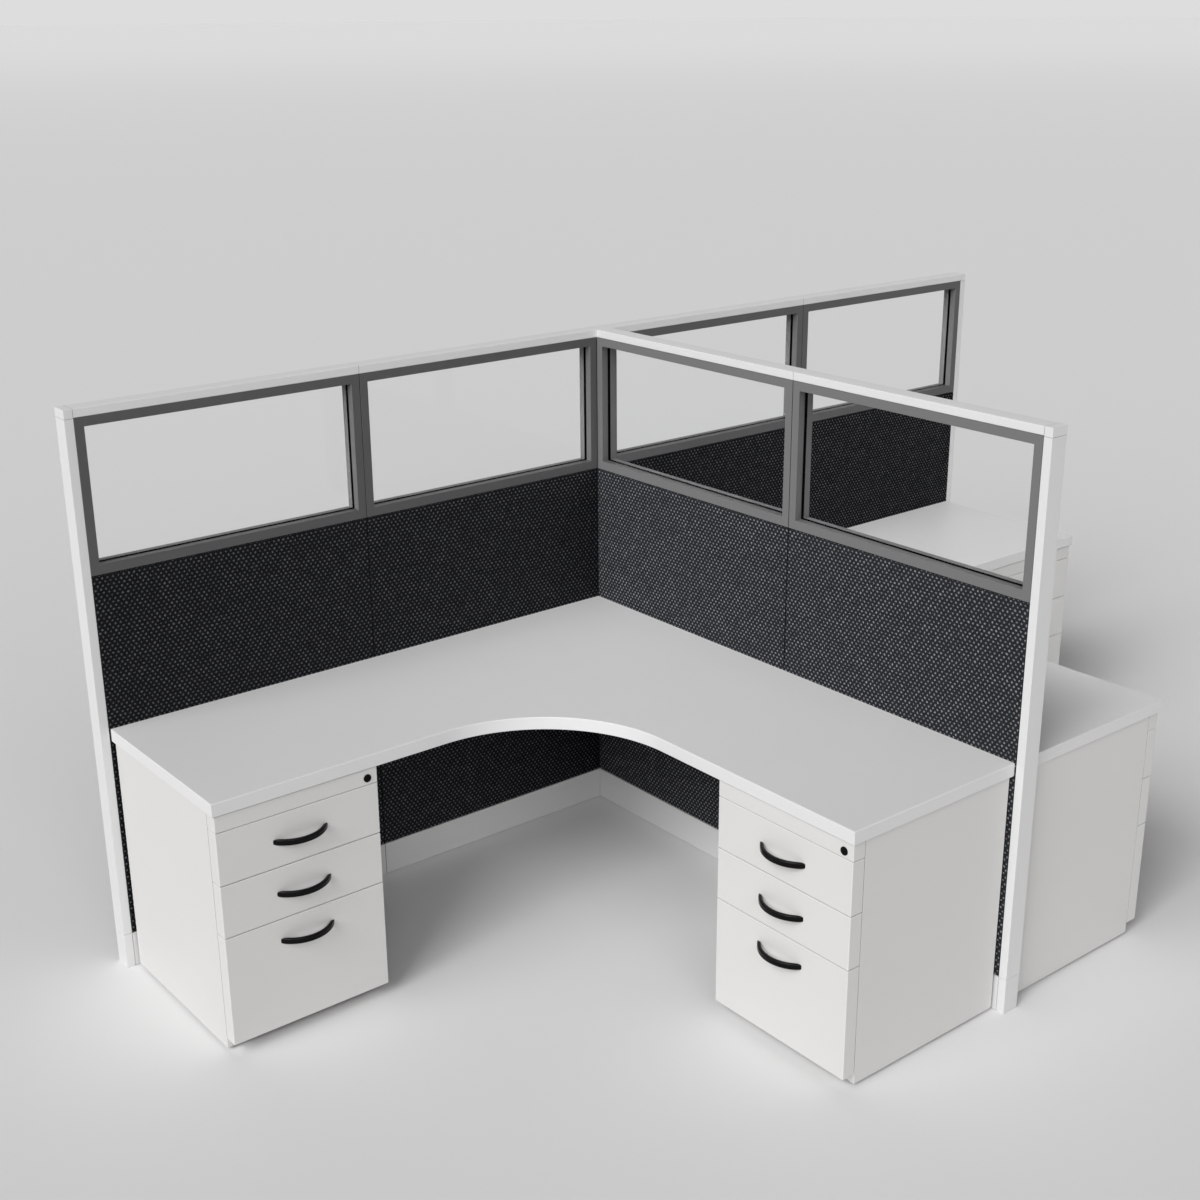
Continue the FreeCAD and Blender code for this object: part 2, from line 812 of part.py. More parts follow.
def lock_pieces():
    """Lock: face, barrel, retaining collar and cam, with a keyway in the face."""
    lie = FreeCAD.Rotation(FreeCAD.Vector(1, 0, 0), -90)
    x = half_width - size.lock_side_inset
    z = case_top - size.lock_drop
    face_y = -size.lock_face_thickness - size.lock_running_gap
    collar_y = size.case_sheet + size.lock_running_gap
    parts = [
        rod("lock_face", (x, face_y, z), size.lock_face_radius, size.lock_face_thickness, lie),
        rod(
            "lock_barrel",
            (x, face_y, z),
            size.lock_barrel_radius,
            size.lock_barrel_length + size.lock_face_thickness,
            lie,
        ),
        rod("lock_collar", (x, collar_y, z), size.lock_collar_radius, size.lock_collar_thickness, lie),
        box(
            "lock_cam",
            (
                x - size.lock_cam_length,
                face_y + size.lock_face_thickness + size.lock_barrel_length - size.lock_cam_thickness,
                z - size.lock_cam_width / 2,
            ),
            (size.lock_cam_length, size.lock_cam_thickness, size.lock_cam_width),
        ),
    ]
    whole = doc.addObject("Part::MultiFuse", "lock_blank")
    whole.Shapes = parts
    keyway = box(
        "lock_keyway",
        (x - size.keyway_width / 2, face_y - size.cut_overrun, z - size.keyway_height / 2),
        (size.keyway_width, size.cut_overrun + size.keyway_depth, size.keyway_height),
    )
    return [cut("lock_cylinder", whole, keyway)]


def slide_level(tag):
    """Middle level of the slides of one drawer."""
    return LEVELS[tag] + size.drawer_floor_rise + size.slide_rise


def runner_pieces():
    """Fixed slide members, one each side of every drawer, open towards the drawer."""
    pieces = []
    start = case_front + size.case_sheet + size.slide_front_gap
    long = size.slide_length
    for tag in FRONTS:
        low = slide_level(tag) - size.slide_height / 2
        high = low + size.slide_height - size.slide_sheet
        for side_tag, side in (("left", -1), ("right", 1)):
            web_x = -inner_half if side < 0 else inner_half - size.slide_sheet
            lip_x = web_x + size.slide_sheet if side < 0 else web_x - size.slide_lip
            name = f"{tag}_{side_tag}_runner"
            web = (size.slide_sheet, long, size.slide_height)
            lip = (size.slide_lip, long, size.slide_sheet)
            pieces.append(box(name + "_web", (web_x, start, low), web))
            pieces.append(box(name + "_low_lip", (lip_x, start, low), lip))
            pieces.append(box(name + "_high_lip", (lip_x, start, high), lip))
    return pieces


def drawer_pieces(tag):
    """Drawer: hollow steel front, box with open top, and its slide members."""
    front_height, side_height = FRONTS[tag]
    low = LEVELS[tag]
    skin = size.case_sheet
    inner = size.pedestal_width - skin * 2
    pieces = [
        box(f"{tag}_front_face", (-half_width, 0, low), (size.pedestal_width, skin, front_height)),
        box(
            f"{tag}_front_liner",
            (-half_width + skin, size.front_depth - skin, low + skin),
            (inner, skin, front_height - skin * 2),
        ),
    ]
    pieces += sheet_pan(f"{tag}_front", low, front_height, size.front_depth)[:2]
    fold = size.front_depth - skin * 2
    for name, level in (("low", low), ("high", low + front_height - skin)):
        deep = fold + skin
        pieces.append(box(f"{tag}_front_{name}", (-half_width + skin, skin, level), (inner, deep, skin)))
    wall = size.drawer_sheet
    floor = low + size.drawer_floor_rise
    start = size.front_depth
    pieces.append(
        box(
            f"{tag}_box_floor",
            (-drawer_half + wall, start, floor),
            ((drawer_half - wall) * 2, size.drawer_depth, wall),
        )
    )
    for side_tag, x in (("left", -drawer_half), ("right", drawer_half - wall)):
        pieces.append(
            box(f"{tag}_box_{side_tag}_side", (x, start, floor), (wall, size.drawer_depth, side_height))
        )
    pieces.append(
        box(
            f"{tag}_box_back",
            (-drawer_half + wall, start + size.drawer_depth - wall, floor + wall),
            ((drawer_half - wall) * 2, wall, side_height - wall),
        )
    )
    return pieces + slide_pieces(tag)


def slide_pieces(tag):
    """Moving slide members, nested in the fixed ones with a little play."""
    pieces = []
    middle = slide_level(tag)
    reach = size.slide_height / 2 - size.slide_sheet - size.slide_play
    start = size.front_depth + size.slide_front_gap
    web_tall = reach * 2
    lip_out = inner_half - size.slide_sheet - size.slide_play
    lip_wide = lip_out - drawer_half - size.slide_sheet
    for side_tag, side in (("left", -1), ("right", 1)):
        web_x = -drawer_half - size.slide_sheet if side < 0 else drawer_half
        lip_x = -lip_out if side < 0 else drawer_half + size.slide_sheet
        name = f"{tag}_{side_tag}_slide"
        web = (size.slide_sheet, size.slide_length, web_tall)
        lip = (lip_wide, size.slide_length, size.slide_sheet)
        pieces.append(box(name + "_web", (web_x, start, middle - reach), web))
        pieces.append(box(name + "_low_lip", (lip_x, start, middle - reach), lip))
        pieces.append(box(name + "_high_lip", (lip_x, start, middle + reach - size.slide_sheet), lip))
    return pieces


def handle_level(tag):
    """Middle level of a handle: half way up a box front, near the top of a file front."""
    height = FRONTS[tag][0]
    if tag == "file":
        return LEVELS[tag] + height - size.file_handle_drop
    return LEVELS[tag] + height / 2


def handle_piece(tag):
    """Bow handle: an arched bar, both ends flat on the drawer front."""
    body, sketch = new_body(f"{tag}_bow", "XY_Plane")
    span = size.handle_span / 2
    radius = (span * span + size.handle_reach * size.handle_reach) / (size.handle_reach * 2)
    inner_radius = radius - size.handle_bar_depth
    rise = radius - size.handle_reach
    centre = FreeCAD.Vector(0, rise.value, 0)
    arcs = []
    for ring in (radius, inner_radius):
        lean = math.asin(rise.value / ring.value)
        circle = Part.Circle(centre, FreeCAD.Vector(0, 0, 1), ring.value)
        arc = Part.ArcOfCircle(circle, math.pi + lean, 2 * math.pi - lean)
        arcs.append(sketch.addGeometry(arc))
        number = sketch.addConstraint(Sketcher.Constraint("Radius", arcs[-1], ring.value))
        sketch.setExpression(f"Constraints[{number}]", ring.text)
        for end in (1, 2):
            sketch.addConstraint(Sketcher.Constraint("PointOnObject", arcs[-1], end, -1))
    outer, inner = arcs
    sketch.addConstraint(Sketcher.Constraint("Coincident", outer, 3, inner, 3))
    pin_point(sketch, outer, 3, 0, rise)
    for end in (1, 2):
        first = sketch.getPoint(outer, end)
        second = sketch.getPoint(inner, end)
        line = sketch.addGeometry(Part.LineSegment(first, second))
        sketch.addConstraint(Sketcher.Constraint("Coincident", line, 1, outer, end))
        sketch.addConstraint(Sketcher.Constraint("Coincident", line, 2, inner, end))
    base = pad(body, sketch, size.handle_bar_height)
    long = size.handle_bar_height.value
    round_edges(
        body,
        base,
        size.handle_edge_radius,
        lambda edge: "Circle" in edge.Curve.TypeId and edge.Length > long,
    )
    put(body, 0, 0, handle_level(tag) - size.handle_bar_height / 2)
    return body


def mirror_across(name, piece):
    """The same piece with its left and right sides exchanged."""
    other = doc.addObject("Part::Mirroring", name)
    other.Source = piece
    other.Base = FreeCAD.Vector(0, 0, 0)
    other.Normal = FreeCAD.Vector(1, 0, 0)
    return other


def build_pedestals():
    """Four pedestals, each from the same drawn pieces, and their glides."""
    side = half_wall + surface_length - size.pedestal_side_inset - half_width
    face = half_wall + size.surface_depth - size.pedestal_front_inset
    rank_y = spine_middle - face
    end_y = spine_middle - side
    places = {
        "left_spine": ((-side, rank_y, 0), 0.0, False),
        "left_wing": ((-face, end_y, 0), -90.0, False),
        "right_wing": ((face, end_y, 0), 90.0, True),
        "right_spine": ((side, rank_y, 0), 0.0, True),
    }
    case = case_pieces()
    strip = strip_pieces()
    lock = lock_pieces()
    strip_other = [mirror_across(f"{piece.Name}_mirrored", piece) for piece in strip]
    lock_other = [mirror_across("lock_cylinder_mirrored", lock[0])]
    runners = runner_pieces()
    drawers = {tag: drawer_pieces(tag) for tag in FRONTS}
    handles = {tag: handle_piece(tag) for tag in FRONTS}
    feet = []
    for tag, x in (
        ("left", -half_width + size.pedestal_glide_inset),
        ("right", half_width - size.pedestal_glide_inset),
    ):
        for spot, y in (
            ("front", case_front + size.pedestal_glide_inset),
            ("rear", case_back - size.pedestal_glide_inset),
        ):
            feet += glide(f"pedestal_{tag}_{spot}", x, y, case_floor)
    nodes = []
    glide_sets = []
    for name, (place, turn, swapped) in places.items():
        nodes.append(group(f"{name}_case", case + (strip_other if swapped else strip), place, turn))
        nodes.append(group(f"{name}_runners", runners, place, turn))
        nodes.append(group(f"{name}_lock", lock_other if swapped else lock, place, turn))
        for tag in FRONTS:
            nodes.append(group(f"{name}_{tag}_drawer", drawers[tag], place, turn))
            nodes.append(group(f"{name}_{tag}_handle", [handles[tag]], place, turn))
        glide_sets.append(group(f"{name}_glides", feet, place, turn))
    return nodes, glide_sets


def build_glides(pedestal_sets):
    """Every glide of the workstation, walls and pedestals."""
    pieces = all_panels(panel_glides, "glide")
    centre = (0, spine_middle, 0)
    runs = [group(f"{run}_glides", pieces, centre, turn) for run, turn in RUNS.items()]
    return group("levelling_glides", runs + pedestal_sets)


def check_document(nodes):
    """Stop if any object failed, or a sub-part has no sound shape."""
    for item in doc.Objects:
        if "Invalid" in item.State or "Error" in item.State:
            raise RuntimeError(f"{item.Name} did not compute: {item.State}")
    for node in nodes:
        if node.Shape.isNull() or not node.Shape.isValid() or not node.Shape.Solids:
            raise RuntimeError(f"{node.Label} has no sound shape")


def main():
    """Build every sub-part, check it and write it."""
    nodes = build_walls()
    nodes += build_worksurfaces()
    pedestal_nodes, glide_sets = build_pedestals()
    nodes += pedestal_nodes
    nodes.append(build_glides(glide_sets))
    doc.recompute()
    check_document(nodes)
    os.makedirs("parts", exist_ok=True)
    for node in nodes:
        node.Shape.exportStep(f"parts/{node.Label}.step")
        print(node.Label, len(node.Shape.Solids), round(node.Shape.Volume))
    print(len(nodes), "sub-parts")


main()
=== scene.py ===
"""Look of a two-person cubicle workstation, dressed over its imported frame.

A T of glazed, fabric-faced panels stands between two mirrored L-shaped worksurfaces,
each on two box-box-file pedestals. Pieces are shaped in millimetres of their own
sub-assembly's frame and set down, in metres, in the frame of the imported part.
"""

import logging
import math
from collections.abc import Callable, Iterable, Sequence
from dataclasses import dataclass, field
from enum import Enum

import bmesh
import bpy
from mathutils import Matrix, Vector


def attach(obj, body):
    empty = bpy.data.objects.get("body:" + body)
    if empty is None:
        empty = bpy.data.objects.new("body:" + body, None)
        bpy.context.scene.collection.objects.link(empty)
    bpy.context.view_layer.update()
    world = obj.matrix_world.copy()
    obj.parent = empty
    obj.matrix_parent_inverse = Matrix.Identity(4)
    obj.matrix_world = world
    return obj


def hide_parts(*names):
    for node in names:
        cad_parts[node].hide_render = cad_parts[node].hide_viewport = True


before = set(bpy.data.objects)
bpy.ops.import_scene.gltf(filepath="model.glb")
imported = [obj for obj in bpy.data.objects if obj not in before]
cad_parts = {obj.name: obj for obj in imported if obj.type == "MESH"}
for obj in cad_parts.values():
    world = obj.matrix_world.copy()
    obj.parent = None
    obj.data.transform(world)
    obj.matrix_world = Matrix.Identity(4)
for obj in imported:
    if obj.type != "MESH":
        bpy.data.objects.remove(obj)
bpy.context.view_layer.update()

ROOT = "workstation"
Point = tuple[float, float, float]
Flat = tuple[float, float]
Colour = tuple[float, float, float]
METRES = 0.001  # a millimetre in metres
TOUCH = 1e-4  # points nearer than this, in millimetres, are one
SLACK = 0.01  # play in a test for place, in millimetres
SHEET_EDGE = 0.3  # easing of a cut sheet's edges, in millimetres
SMOOTH_ANGLE = 50.0  # edges that turn by more than this, in degrees, stay crisp
NOISE_SPAN: Flat = (0.3, 0.7)  # where nearly all values of a noise lie
UP = Vector((0.0, 0.0, 1.0))
log = logging.getLogger("workstation")


class Slot(Enum):
    """The material slots of the part's record."""

    TRIM = "white_trim"
    STEEL = "white_steel"
    LAMINATE = "white_laminate"
    FABRIC = "dark_fabric"
    SURROUND = "grey_metal"
    GLASS = "clear_glass"
    RUBBER = "black_rubber"
    PLASTIC = "black_plastic"
    HANDLE = "black_metal"
    TUBE = "frame_steel"
    ZINC = "zinc_steel"


class Run(Enum):
    """The three wall runs, each by its turn about the T's centre, in degrees."""

    SPINE_LEFT = 180.0
    SPINE_RIGHT = 0.0
    WING = -90.0

    @property
    def label(self) -> str:
        """Name of the run as the part's nodes have it."""
        return self.name.lower()


class Drawer(Enum):
    """The drawers of a pedestal: bottom and top level of the front, box height, handle drop."""

    TOP = (512.0, 661.5, 100.0, 74.75)
    MIDDLE = (360.0, 509.5, 100.0, 74.75)
    FILE = (39.5, 357.5, 240.0, 62.5)

    @property
    def label(self) -> str:
        """Name of the drawer as the part's nodes have it."""
        return self.name.lower()


class Nodes:
    """A node tree under construction, of a material or of the world."""

    def __init__(self, owner: bpy.types.ID, output: str) -> None:
        """Clear the owner's tree down to its output.

        Args:
            owner: The material or world that has the tree.
            output: Type of the output node, without its common first word.
        """
        owner.use_nodes = True
        self.owner = owner
        self.tree = owner.node_tree
        self.tree.nodes.clear()
        self.output = self.add(output)

    def add(self, kind: str, inputs: dict | None = None, **settings: object) -> bpy.types.Node:
        """Add a node.

        Args:
            kind: Node type without its common first word.
            inputs: Value or source socket for each input.
            **settings: The node's own settings.

        Returns:
            The new node.
        """
        node = self.tree.nodes.new("ShaderNode" + kind)
        for key, value in settings.items():
            setattr(node, key, value)
        for key, value in (inputs or {}).items():
            if isinstance(value, bpy.types.NodeSocket):
                self.tree.links.new(value, node.inputs[key])
            else:
                node.inputs[key].default_value = value
        return node

    def maths(self, operation: str, *values: object) -> bpy.types.NodeSocket:
        """Add a scalar operation and return its result."""
        return self.add("Math", dict(enumerate(values)), operation=operation).outputs[0]

    def vector(self, operation: str, *values: object) -> bpy.types.NodeSocket:
        """Add a vector operation and return its vector."""
        return self.add("VectorMath", dict(enumerate(values)), operation=operation).outputs[0]

    def measure(self, operation: str, *values: object) -> bpy.types.NodeSocket:
        """Add a vector operation and return its number."""
        node = self.add("VectorMath", dict(enumerate(values)), operation=operation)
        return node.outputs["Value"]

    def noise(self, where: object, grain: float, detail: float = 2.0) -> bpy.types.NodeSocket:
        """Add noise whose features are about grain metres wide, and return its value."""
        inputs = {"Vector": where, "Scale": 1.0 / grain, "Detail": detail}
        return self.add("TexNoise", inputs).outputs[0]

    def remap(
        self, value: object, source: Flat, target: Flat, kind: str = "LINEAR"
    ) -> bpy.types.NodeSocket:
        """Map one range of a value to another.

        Args:
            value: The value's socket.
            source: Range of the value.
            target: Range of the result.
            kind: LINEAR or SMOOTHSTEP.

        Returns:
            The result.
        """
        keys = ("From Min", "From Max", "To Min", "To Max")
        inputs = {"Value": value, **dict(zip(keys, source + target))}
        return self.add("MapRange", inputs, interpolation_type=kind).outputs[0]

    def blend(self, share: object, first: object, second: object) -> bpy.types.NodeSocket:
        """Mix two colours and return the result."""
        return self.add("Mix", {0: share, 6: first, 7: second}, data_type="RGBA").outputs[2]

    def shade(self, share: object, colour: Colour, spread: float) -> bpy.types.NodeSocket:
        """Vary a colour darker and lighter by a spread, and return the result."""
        return self.blend(share, rgba(colour, 1.0 - spread), rgba(colour, 1.0 + spread))

    def close(self, surface: bpy.types.Node) -> bpy.types.ID:
        """Join the surface to the output and return the tree's owner."""
        self.tree.links.new(surface.outputs[0], self.output.inputs["Surface"])
        return self.owner


class Shader(Nodes):
    """A material under construction."""

    def __init__(self, name: str) -> None:
        """Start a material that holds only its output."""
        super().__init__(bpy.data.materials.new(name), "OutputMaterial")

    def place(self) -> bpy.types.NodeSocket:
        """The place on the piece, in metres of the part's frame."""
        return self.add("TexCoord").outputs["Object"]

    def wall_place(self) -> bpy.types.NodeSocket:
        """The place on the wall's own map, in metres."""
        return self.add("UVMap", uv_map="wall").outputs[0]

    def bump(
        self, height: object, depth: float, strength: float = 1.0, base: object = None
    ) -> bpy.types.NodeSocket:
        """Add a bump.

        Args:
            height: Socket of its height, from 0 to 1.
            depth: Depth of that height, in metres.
            strength: Share of the bump that shows.
            base: Normal that it stands on, or None for the surface's own.

        Returns:
            The normal.
        """
        inputs = {"Height": height, "Distance": depth, "Strength": strength}
        if base is not None:
            inputs["Normal"] = base
        return self.add("Bump", inputs).outputs[0]

    def leaning(self, slope: float) -> bpy.types.NodeSocket:
        """The normal of a grain that leans to the right along the wall, by its slope."""
        across = self.add("SeparateXYZ", {0: self.wall_place()}).outputs[0]
        return self.bump(self.maths("MULTIPLY", across, -slope), 1.0)

    def coat(self, inputs: dict) -> bpy.types.Material:
        """Finish the material with one principled surface and return it."""
        return self.close(self.add("BsdfPrincipled", inputs))


def rgba(colour: Colour, gain: float = 1.0) -> tuple[float, float, float, float]:
    """A linear colour as the four numbers a socket takes."""
    return (colour[0] * gain, colour[1] * gain, colour[2] * gain, 1.0)


def grey(level: float) -> Colour:
    """A neutral linear colour."""
    return (level, level, level)


@dataclass(frozen=True)
class CoatedFinish:
    """Paint, powder coat, laminate or moulded plastic: one colour with a fine skin."""

    name: str
    colour: Colour
    roughness: float
    specular: float
    metallic: float = 0.0
    cloud: float = 0.015
    cloud_size: float = 0.35
    gloss_size: float = 0.06
    gloss_drift: float = 0.03
    grain: float = 0.0012
    relief: float = 0.00002
    lean: float = 0.0

    def build(self) -> bpy.types.Material:
        """Make the material.

        Returns:
            A material with cloudy colour, uneven gloss and a fine skin.
        """
        s = Shader(self.name)
        place = s.place()
        leaning = s.leaning(self.lean) if self.lean else None
        cloudy = s.noise(place, self.cloud_size, 3.0)
        skin = s.noise(place, self.grain)
        uneven = s.noise(place, self.gloss_size, 4.0)
        gloss = (self.roughness - self.gloss_drift, self.roughness + self.gloss_drift)
        return s.coat(
            {
                "Base Color": s.shade(cloudy, self.colour, self.cloud),
                "Roughness": s.remap(uneven, NOISE_SPAN, gloss),
                "Metallic": self.metallic,
                "Specular IOR Level": self.specular,
                "Normal": s.bump(skin, self.relief, base=leaning),
            }
        )


@dataclass(frozen=True)
class BrushedFinish:
    """Drawn or rolled metal: fine lines along one axis of the part's frame."""

    name: str
    colour: Colour
    roughness: float
    metallic: float
    stretch: Point
    line: float = 0.0009
    spread: float = 0.06
    gloss_drift: float = 0.05
    relief: float = 0.00001

    def build(self) -> bpy.types.Material:
        """Make the material.

        Returns:
            A metal with fine drawn lines in its colour, gloss and relief.
        """
        s = Shader(self.name)
        drawn = s.add("Mapping", {"Vector": s.place(), "Scale": self.stretch}).outputs[0]
        lines = s.noise(drawn, self.line, 3.0)
        gloss = (self.roughness - self.gloss_drift, self.roughness + self.gloss_drift)
        return s.coat(
            {
                "Base Color": s.shade(lines, self.colour, self.spread),
                "Roughness": s.remap(lines, NOISE_SPAN, gloss),
                "Metallic": self.metallic,
                "Normal": s.bump(lines, self.relief),
            }
        )


@dataclass(frozen=True)
class WovenFinish:
    """Panel fabric: pale flecks in staggered rows over dark yarn."""

    name: str
    yarn: Colour = (0.0105, 0.0114, 0.0134)
    fleck: Colour = (0.270, 0.281, 0.297)
    pitch: Flat = (0.0152, 0.0206)
    fleck_edge: Flat = (0.00119, 0.00408)
    fleck_luck: Flat = (0.6, 1.0)
    stray_scale: float = 140.0
    stray: float = 0.0060
    thread: float = 0.0021
    mottle: float = 0.0034
    mottle_span: Flat = (0.35, 0.75)
    mottle_share: float = 0.12
    weave_share: float = 0.01
    heights: Flat = (0.8, 0.25)
    relief: float = 0.0004
    relief_share: float = 0.6
    lean: float = 0.80
    roughness: float = 0.8
    specular: float = 0.0

    def flecks(self, s: Shader, where: object, shift: float) -> bpy.types.NodeSocket:
        """One of the two staggered sets of flecks.

        Args:
            s: The material under construction.
            where: Place on the wall, in metres.
            shift: Offset of the set, as a share of the pitch.

        Returns:
            How far each place belongs to a fleck, from 0 to 1.
        """
        across, up = self.pitch
        scaled = s.vector("MULTIPLY_ADD", where, (1 / across, 1 / up, 0.0), (shift, shift, 0.0))
        home = s.vector("FLOOR", scaled)
        inside = s.vector("SUBTRACT", s.vector("FRACTION", scaled), (0.5, 0.5, 0.0))
        reach = s.measure("LENGTH", s.vector("MULTIPLY", inside, (across, up, 0.0)))
        luck = s.add("TexWhiteNoise", {"Vector": home}, noise_dimensions="3D").outputs["Value"]
        mask = s.remap(reach, self.fleck_edge, (1.0, 0.0), "SMOOTHSTEP")
        return s.maths("MULTIPLY", mask, s.remap(luck, (0.0, 1.0), self.fleck_luck))

    def build(self) -> bpy.types.Material:
        """Make the material.

        Returns:
            A cloth that reads the wall's own map, in metres.
        """
        s = Shader(self.name)
        place = s.wall_place()
        inputs = {"Vector": place, "Scale": self.stray_scale, "Detail": 1.0}
        stray = s.vector("SUBTRACT", s.add("TexNoise", inputs).outputs[1], grey(0.5))
        stray = s.vector("MULTIPLY", stray, (self.stray, self.stray, 0.0))
        woven = s.vector("ADD", place, stray)
        flecks = s.maths("MAXIMUM", self.flecks(s, woven, 0.0), self.flecks(s, woven, 0.5))
        turn = math.tau / self.thread
        turns = s.vector("SINE", s.vector("MULTIPLY", place, (turn, turn, 0.0)))
        turns = s.add("SeparateXYZ", {0: turns}).outputs
        weave = s.maths("MULTIPLY", turns[0], turns[1])
        mottle = s.noise(place, self.mottle)
        mottle = s.remap(mottle, self.mottle_span, (0.0, self.mottle_share))
        share = s.maths("MAXIMUM", flecks, mottle)
        share = s.maths("MULTIPLY_ADD", weave, self.weave_share, share)
        bold, fine = self.heights
        height = s.maths("MULTIPLY_ADD", flecks, bold, s.maths("MULTIPLY", weave, fine))
        slanting = s.leaning(self.lean)
        return s.coat(
            {
                "Base Color": s.blend(share, rgba(self.yarn), rgba(self.fleck)),
                "Roughness": self.roughness,
                "Specular IOR Level": self.specular,
                "Normal": s.bump(height, self.relief, self.relief_share, slanting),
            }
        )


@dataclass(frozen=True)
class GlassFinish:
    """Clear float glass that lets the lamps through."""

    name: str
    tint: Colour = (0.995, 1.0, 0.998)
    roughness: float = 0.0
    bending: float = 1.2
    wave: float = 0.25
    relief: float = 0.00002
    relief_share: float = 0.1

    def build(self) -> bpy.types.Material:
        """Make the material.

        Returns:
            Clear glass, plain see-through for shadow rays.
        """
        s = Shader(self.name)
        wave = s.noise(s.place(), self.wave, 1.0)
        pane = s.add(
            "BsdfPrincipled",
            {
                "Base Color": rgba(self.tint),
                "Roughness": self.roughness,
                "IOR": self.bending,
                "Transmission Weight": 1.0,
                "Normal": s.bump(wave, self.relief, self.relief_share),
            },
        )
        open_air = s.add("BsdfTransparent", {"Color": rgba(self.tint)})
        lamps = s.add("LightPath").outputs["Is Shadow Ray"]
        return s.close(s.add("MixShader", {0: lamps, 1: pane.outputs[0], 2: open_air.outputs[0]}))


@dataclass(frozen=True)
class GroundFinish:
    """The studio's pale matt floor, with painted shade that makes it a little darker near the part
    and painted light that makes it paler far away.
    """

    name: str
    colour: Colour
    roughness: float = 0.5
    specular: float = 0.0
    cloud: float = 0.003
    cloud_size: float = 1.6
    # painted shade and light: for each reach from the part, in metres, the gain of the floor's
    # colour beyond it
    painted_light_gains: tuple[Flat, Flat] = ((4.5, 1.13), (80.0, 1.32))

    def build(self) -> bpy.types.Material:
        """Make the material.

        Returns:
            A pale floor with a faint cloud in its colour, painted darker near the part as painted
            shade and paler far away as painted light.
        """
        s = Shader(self.name)
        place = s.place()
        colour = s.shade(s.noise(place, self.cloud_size), self.colour, self.cloud)
        away = s.measure("LENGTH", place)
        # painted shade and light: each gain makes the floor paler beyond its reach, so it is darker
        # near the part and paler far away
        for reach, gain in self.painted_light_gains:
            share = s.maths("DIVIDE", away, reach)
            fall = s.maths("EXPONENT", s.maths("MULTIPLY", s.maths("MULTIPLY", share, share), -1.0))
            colour = s.blend(fall, rgba(self.colour, gain), colour)
        return s.coat(
            {"Base Color": colour, "Roughness": self.roughness, "Specular IOR Level": self.specular}
        )


FINISHES = {
    Slot.TRIM: CoatedFinish("TrimWhite", grey(0.700), 0.42, 0.35),
    Slot.STEEL: CoatedFinish("PedestalWhite", (0.668, 0.662, 0.649), 0.42, 0.35, grain=0.0015),
    Slot.LAMINATE: CoatedFinish("TopWhite", grey(0.710), 0.48, 0.35, grain=0.0006, relief=0.00001),
    Slot.FABRIC: WovenFinish("PanelCloth"),
    Slot.SURROUND: CoatedFinish(
        "SurroundGrey", (0.158, 0.158, 0.160), 0.5, 0.15, metallic=0.1, cloud=0.03, lean=0.42
    ),
    Slot.GLASS: GlassFinish("PaneClear"),
    Slot.RUBBER: CoatedFinish("GasketBlack", grey(0.002), 0.6, 0.0, cloud=0.1),
    Slot.PLASTIC: CoatedFinish("LockBlack", grey(0.002), 0.4, 0.08, cloud=0.1),
    Slot.HANDLE: CoatedFinish("HandleBlack", grey(0.002), 0.22, 0.13, cloud=0.1),
    Slot.TUBE: BrushedFinish("TubeSteel", (0.06, 0.06, 0.065), 0.5, 0.6, (0.1, 0.1, 1.0)),
    Slot.ZINC: BrushedFinish("ZincSteel", (0.55, 0.56, 0.58), 0.35, 1.0, (1.0, 0.08, 1.0)),
}
MATERIALS: dict[Slot, bpy.types.Material] = {}


def material_for(slot: Slot) -> bpy.types.Material:
    """The material of a slot, made once.

    Args:
        slot: Material slot of the record.

    Returns:
        Its material.
    """
    if slot not in MATERIALS:
        MATERIALS[slot] = FINISHES[slot].build()
    return MATERIALS[slot]


def frame_place(x: float, y: float, turn: float, mirrored: bool = False) -> Matrix:
    """Place of a sub-assembly's frame.

    Args:
        x: Place of its origin, in millimetres.
        y: Place of its origin, in millimetres.
        turn: Turn about the vertical, in degrees.
        mirrored: True to exchange its left and right sides first.

    Returns:
        The matrix from its millimetres to the part's metres.
    """
    side = -METRES if mirrored else METRES
    scale = Matrix.Diagonal((side, METRES, METRES, 1.0))
    shift = Matrix.Translation((x * METRES, y * METRES, 0.0))
    return shift @ Matrix.Rotation(math.radians(turn), 4, "Z") @ scale


def at_front(edge: bmesh.types.BMEdge) -> bool:
    """True if an edge reaches the front of its block."""
    return any(vert.co.y < SLACK for vert in edge.verts)


